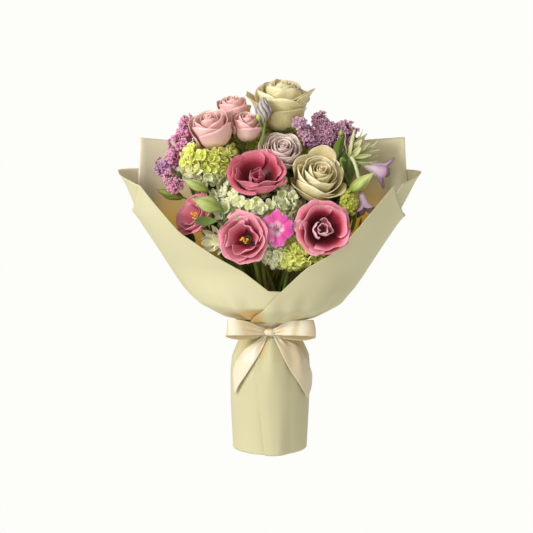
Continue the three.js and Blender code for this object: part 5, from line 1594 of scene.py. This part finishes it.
def foot_pleats(turned, z):
    """Gathers under the bow, as sines round the foot: strongest from 138 to 146 mm up, and gone below 80 mm
    and above 158 mm."""
    wave = np.sin(np.radians(turned) * 9 + 0.4) + 0.6 * np.sin(np.radians(turned) * 16 + 1.3)
    return 1.35 * wave * smooth(z, 80, 138) * (1 - smooth(z, 146, 158))


def foot_place(turned, z, out=0.0):
    """A place on the foot at an angle in degrees, 0 in front and positive towards the right (+X)."""
    radius = foot_radius(z) + foot_pleats(turned, z) + out
    angle = np.radians(turned)
    return xyz(radius * np.sin(angle), -radius * np.cos(angle), z + 0 * radius)


FOOT_HEIGHT = 168
u, v = grid(280, 60)
z = v * FOOT_HEIGHT
end = -367 - 21 * z / FOOT_HEIGHT
turned = blend(10, end, u)
lap = (2.2 + 3.4 * (1 - smooth(z, 0, 75))) * smooth(-turned, 326, 350) - 1.1 * smooth(u, 0.965, 1)
foot_points = foot_place(turned, z, lap)
# painted golden shade in the hollows of the gathers under the bow
golden = np.clip(0.35 - 0.5 * foot_pleats(turned, z), 0, 1) * smooth(z, 112, 150) * 0.5
piece("wrap_foot_paper", [patch(foot_points, golden)], FINISH["paper"], 0.5, ["wrap_foot"])

# %% [markdown]
# ## The satin bow
# Satin is woven so that its threads lie side by side, and it flashes where it bends. The finish has fine
# threads, a low roughness and anisotropy. Lamps alone would give the dark turns of the folds only with many
# of them, so the tint darkens those places.

# %% Satin
def satin_finish():
    """Satin: fine threads across the strip, a low roughness, anisotropy and a soft sheen. The tint darkens
    its folds and its inner side, where satin throws the light away from the eye."""
    material, nodes, links, shader = new_material("cream_satin")
    threads = use_group(nodes, VEINS, {"Across": 3.0, "Along": 260.0}).outputs["Mask"]
    streak = scaled(nodes, links, threads, 1.6, -0.3)
    colour = mix(nodes, links, "MIX", linear((219, 208, 181)), linear((233, 226, 207)), streak)
    colour = mix(nodes, links, "MIX", colour, linear((186, 160, 104)), tint_of(nodes))
    links.new(colour, shader.inputs["Base Color"])
    raised(nodes, links, shader, threads, 0.1, 0.0003)
    set_values(shader, {
        "Roughness": 0.36, "Anisotropic": 0.5, "Sheen Weight": 0.25, "Sheen Roughness": 0.3})
    return material


FINISH["satin"] = satin_finish()
print("finishes in all", len(FINISH))

# %% [markdown]
# The ribbon is a strip described by two edge lines. Each loop runs out from the knot, turns back and comes in
# behind itself. A curve with a flat profile would keep one width and one twist, while two edge lines let a
# loop open like a cup. Between its edges the strip is bowed a little, which is what makes satin flash.

# %% Loops
def ribbon(first, second, shade, columns=18, rows=120, bow=1.2, crease=0.75):
    """A strip between two edge lines. Its middle stands out by bow along the strip's own normal, and creases
    run out of the knot. shade gives its tint at places along it: bright where satin flashes, dark where it
    turns."""
    a, b = curve(first, rows), curve(second, rows)
    s = np.linspace(0, 1, columns)[:, None, None]
    flat = a[None] * (1 - s) + b[None] * s
    across = b - a
    ahead = np.gradient((a + b) / 2, axis=0)
    normal = np.cross(across, ahead)
    normal /= np.linalg.norm(normal, axis=1, keepdims=True) + 1e-9
    s = s[..., 0]
    along = np.linspace(0, 1, rows)[None, :]
    fold = np.sin(s * 15 + 5 * along) * (1 - smooth(along, 0.02, 0.36))
    lift = bow * np.sin(math.pi * s) * np.sin(math.pi * along) ** 0.5 + crease * fold
    # painted shade: the tint follows shade along the loop, darker in the creases' hollows
    tint = np.interp(along + 0.03 * s, *shade) - 0.34 * fold
    return patch(flat + lift[..., None] * normal[None], np.clip(tint, 0, 0.95))


LEFT_LOOP = ([(-2, -41, 162.5), (-14, -49, 169), (-30, -57, 177.5), (-45, -59, 180), (-54, -54, 179.5),
              (-52, -47.5, 176.5), (-40, -44, 172.5), (-22, -42.5, 168), (-4, -40, 163)],
             [(-2, -41, 158), (-14, -48.5, 158), (-30, -55, 158.5), (-45.5, -57, 159), (-56, -52.5, 157.5),
              (-54, -46, 154), (-42, -43.5, 151), (-22, -42, 151.5), (-4, -40, 158)])
RIGHT_LOOP = ([(1, -41, 162.5), (10, -48, 168.5), (22, -55, 177), (40, -59, 179), (54, -54, 178.5),
               (53, -47, 175.5), (40, -44, 172), (22, -42.5, 168), (2, -40, 163)],
              [(1, -41, 158), (10, -47, 157.5), (21, -53, 158), (41, -57, 158.5), (57, -52, 156),
               (55, -46, 152.5), (42, -43.5, 149.5), (22, -42, 151), (2, -40, 158)])
# places along a loop, and the tint at each: painted shade, dark where the satin turns
LEFT_SHADE = ((0, 0.07, 0.14, 0.2, 0.29, 0.35, 0.4, 0.46, 0.5, 0.56, 1),
              (0.7, 0.5, 0.4, 0.62, 0.66, 0.2, 0, 0.05, 0.5, 0.72, 0.8))
RIGHT_SHADE = ((0, 0.06, 0.16, 0.22, 0.27, 0.3, 0.34, 0.38, 0.41, 0.46, 0.5, 0.56, 1),
               (0.4, 0.3, 0.5, 0.4, 0, 0.02, 0.6, 0, 0.04, 0.45, 0.6, 0.72, 0.8))
loops = [ribbon(*LEFT_LOOP, LEFT_SHADE), ribbon(*RIGHT_LOOP, RIGHT_SHADE)]
print("loops", len(loops), "with", len(loops[0][1]), "faces each")

# %% [markdown]
# Each tail lies on the foot and ends in a slanted cut. Its edges are given by angle and height on the foot,
# so that the tail follows the paper's curve by itself.

# %% Tails
def tail(first, second, shade, rows=70, columns=22):
    """A tail laid on the foot between two edges of (angle, height): it floats 3 mm off the paper, 6 mm more
    at the knot, and folds fan out of the knot. shade is its tint at the knot, in the middle and at its
    end."""
    a, b = curve([(*p, 0) for p in first], rows), curve([(*p, 0) for p in second], rows)
    s, along = np.linspace(0, 1, columns)[:, None], np.linspace(0, 1, rows)[None, :]
    turned, z = blend(a[:, 0], b[:, 0], s), blend(a[:, 1], b[:, 1], s)
    fold = np.sin(s * 13 + 3 * along) * (1 - smooth(along, 0.05, 0.5))
    out = 3.0 + 6 * (1 - smooth(along, 0, 0.3)) + 1.3 * fold + 1.4 * np.sin(math.pi * s) + 1.2 * along
    # painted shade: the tint follows shade along the tail, darker in the folds' hollows
    tint = np.interp(along + 0.1 * s, (0, 0.4, 1), shade) - 0.22 * fold
    return patch(foot_place(turned, z, out), np.clip(tint, 0, 0.9))


LEFT_TAIL = ([(-9, 160), (-16, 153), (-33, 143), (-50, 131), (-59, 115), (-60, 100), (-55, 76)],
             [(-1, 160), (-6, 153), (-13, 139), (-20, 126), (-28, 114), (-34, 105), (-37, 101)])
RIGHT_TAIL = ([(-2, 160), (7, 153), (15, 139), (23, 121), (34.5, 103), (49, 84), (61, 70)],
              [(6, 160), (24, 153), (44, 143), (57, 135), (67, 118), (76, 105), (82, 98)])
# the tails' tints are painted shade: the left one is dark at the knot, the right one along its middle and end
tails = [tail(*LEFT_TAIL, (0.75, 0.12, 0.2)), tail(*RIGHT_TAIL, (0.1, 0.5, 0.4))]
print("tails", len(tails))

# %% [markdown]
# The knot is a short band wrapped over the middle of the bow: a flattened barrel with a few creases that run
# up and down it. The rest of the ribbon goes round the neck and flares at its upper edge, with the paper.

# %% Knot and waist
def knot_patch():
    """A closed barrel round an upright axis, 15 mm wide and 8 mm tall, pinched by creases."""
    u, v = grid(40, 24)
    a, lean = u * 2 * math.pi, (v - 0.5) * math.pi
    crease = 1 + 0.05 * np.cos(9 * a) * np.cos(lean) + 0.03 * np.cos(17 * a + 1)
    x = 7.4 * np.cos(lean) ** 0.45 * np.cos(a) * crease
    y = 5.4 * np.cos(lean) ** 0.45 * np.sin(a) * crease
    # painted shade: the tint is darker in the pinches of the creases
    shade = 0.3 - 3 * (crease - 1)
    return patch(xyz(-0.2 + x, -42.5 + y, 160.6 + 4.1 * np.sin(lean)), shade, np.stack([v, u], axis=-1))


def waist_patch():
    """The ribbon round the neck, 18 mm wide, with soft folds along it: sines of the height. Its upper edge
    flares 8 mm with the paper."""
    u, v = grid(120, 12)
    a = u * 2 * math.pi
    out = 34.6 + 0.7 * np.sin(v * 9 + 1.2 * np.sin(2 * a)) + 0.5 * np.sin(v * 17 + 2 * np.cos(3 * a))
    out = out + 8.4 * smooth(v, 0.6, 1) + 0.8 * np.sin(22 * a) * smooth(v, 0.4, 0.8)
    points = xyz(out * np.sin(a), -out * np.cos(a), 153.5 + 18.3 * v)
    # painted shade: the tint grows towards the upper edge, under the paper's overhang
    return patch(points, 0.15 + 0.3 * smooth(v, 0.4, 1), np.stack([v, u], axis=-1))


piece("satin_bow", [*loops, *tails, waist_patch()], FINISH["satin"], 0.5, ["ribbon_bow"])
piece("satin_knot", [knot_patch()], FINISH["satin"])

# %% [markdown]
# Under the ribbon, twine ties the stems. Nobody sees it from outside, so it is a plain tube along a helix in
# a straw colour, and its place is that of the CAD model's tie.

# %% Tie
def twine(turns=3.0, count=260):
    """Three turns of 2 mm twine round the bunch: a circle whose height grows with its angle."""
    t = np.linspace(0, 1, count)
    a = t * turns * 2 * math.pi
    path = xyz(22.3 * np.cos(a), 22.3 * np.sin(a), TIE_Z - 3 + 6 * t)
    return tube(path, np.full(count, 1.0), 8, 0.4)


add_finishes({
    "twine": ([(0, (170, 148, 104)), (1, (150, 128, 88))], (190, 170, 128),
              dict(veins=(60, 60), glow=0.0, rough=0.8)),
})
piece("twine_tie", [twine()], FINISH["twine"], nodes=["stem_tie"])

# %% [markdown]
# ## Stage, light and camera
# The photograph is a bright picture on plain white, in which no floor can be told from the wall. A white
# floor lit by lamps would show grey edges and shadows. So the floor gives its own even light, in the very
# colour of the room behind it. The room is plain white where the camera looks, and warmer and weaker where
# its light falls on the flowers, so that the lamps can model them.

# %% Floor and surroundings
BACKDROP = linear((253, 253, 249))
ROOM_LIGHT = linear((255, 244, 230))
scene = bpy.context.scene
scene.view_settings.view_transform = "Standard"
bpy.ops.mesh.primitive_plane_add(size=30, location=(0, 0, -0.0006))
floor = bpy.context.object
floor.name = "floor"
white, _, _, shader = new_material("white_floor")
set_values(shader, {
    "Base Color": linear((0, 0, 0)), "Roughness": 0.9, "Specular IOR Level": 0.0, "Emission Color": BACKDROP,
    "Emission Strength": 1.0})
floor.data.materials.append(white)

world = bpy.data.worlds.new("white_room")
world.use_nodes = True
nodes, links = world.node_tree.nodes, world.node_tree.links
camera_looks = nodes.new("ShaderNodeLightPath").outputs["Is Camera Ray"]
strength = scaled(nodes, links, camera_looks, 0.6, 0.4)
links.new(mix(nodes, links, "MIX", ROOM_LIGHT, BACKDROP, camera_looks), nodes["Background"].inputs["Color"])
links.new(strength, nodes["Background"].inputs["Strength"])
scene.world = world
print("floor", floor.name, "world", world.name)

# %% [markdown]
# Two square lamps stand in front, to the left and above. The large one is soft and lights the whole front.
# The small one is the key: it draws the shadows in the petals and leaves the right side darker. Spot lamps
# would draw them too, but with edges that are too hard for a picture taken in soft light.

# %% Lamps
def lamp(name, place, target, size, power, colour):
    """A square soft lamp that faces a target."""
    data = bpy.data.lights.new(name, "AREA")
    data.shape, data.size, data.energy, data.color = "SQUARE", size, power, colour
    obj = bpy.data.objects.new(name, data)
    obj.location = place
    way = np.subtract(target, place)
    obj.rotation_euler = (math.atan2(math.hypot(way[0], way[1]), -way[2]), 0,
                          math.atan2(way[1], way[0]) - math.pi / 2)
    scene.collection.objects.link(obj)
    return obj


lamps = [lamp("key", (-1.9, -1.6, 1.3), (0, 0, 0.3), 0.6, 39, (1.0, 0.985, 0.955)),
         lamp("soft", (-1.6, -2.5, 1.5), (0, 0, 0.3), 2.2, 45, (1.0, 0.99, 0.98))]
print("lamps", ", ".join(obj.name for obj in lamps))

# %% [markdown]
# The camera stands about two metres away with a long lens, a little above the middle, and looks down by 8.5
# degrees, so that the foot's sides stay nearly upright. A shorter lens would swell the nearest flowers.

# %% Camera
LOOK_DOWN = 8.5  # degrees
view = bpy.data.cameras.new("camera")
view.lens, view.sensor_width, view.clip_end = 100, 36, 60
camera = bpy.data.objects.new("camera", view)
camera.location = (-0.0045, -1.90386, 0.52353)
camera.rotation_euler = (math.radians(90 - LOOK_DOWN), 0, 0)
scene.collection.objects.link(camera)
scene.camera = camera
print("camera at", tuple(round(place, 3) for place in camera.location))

# %% [markdown]
# ## Faces
# The last cell prints how many faces the pieces have before their modifiers.

# %% Finish
print("faces before modifiers", sum(made.values()))
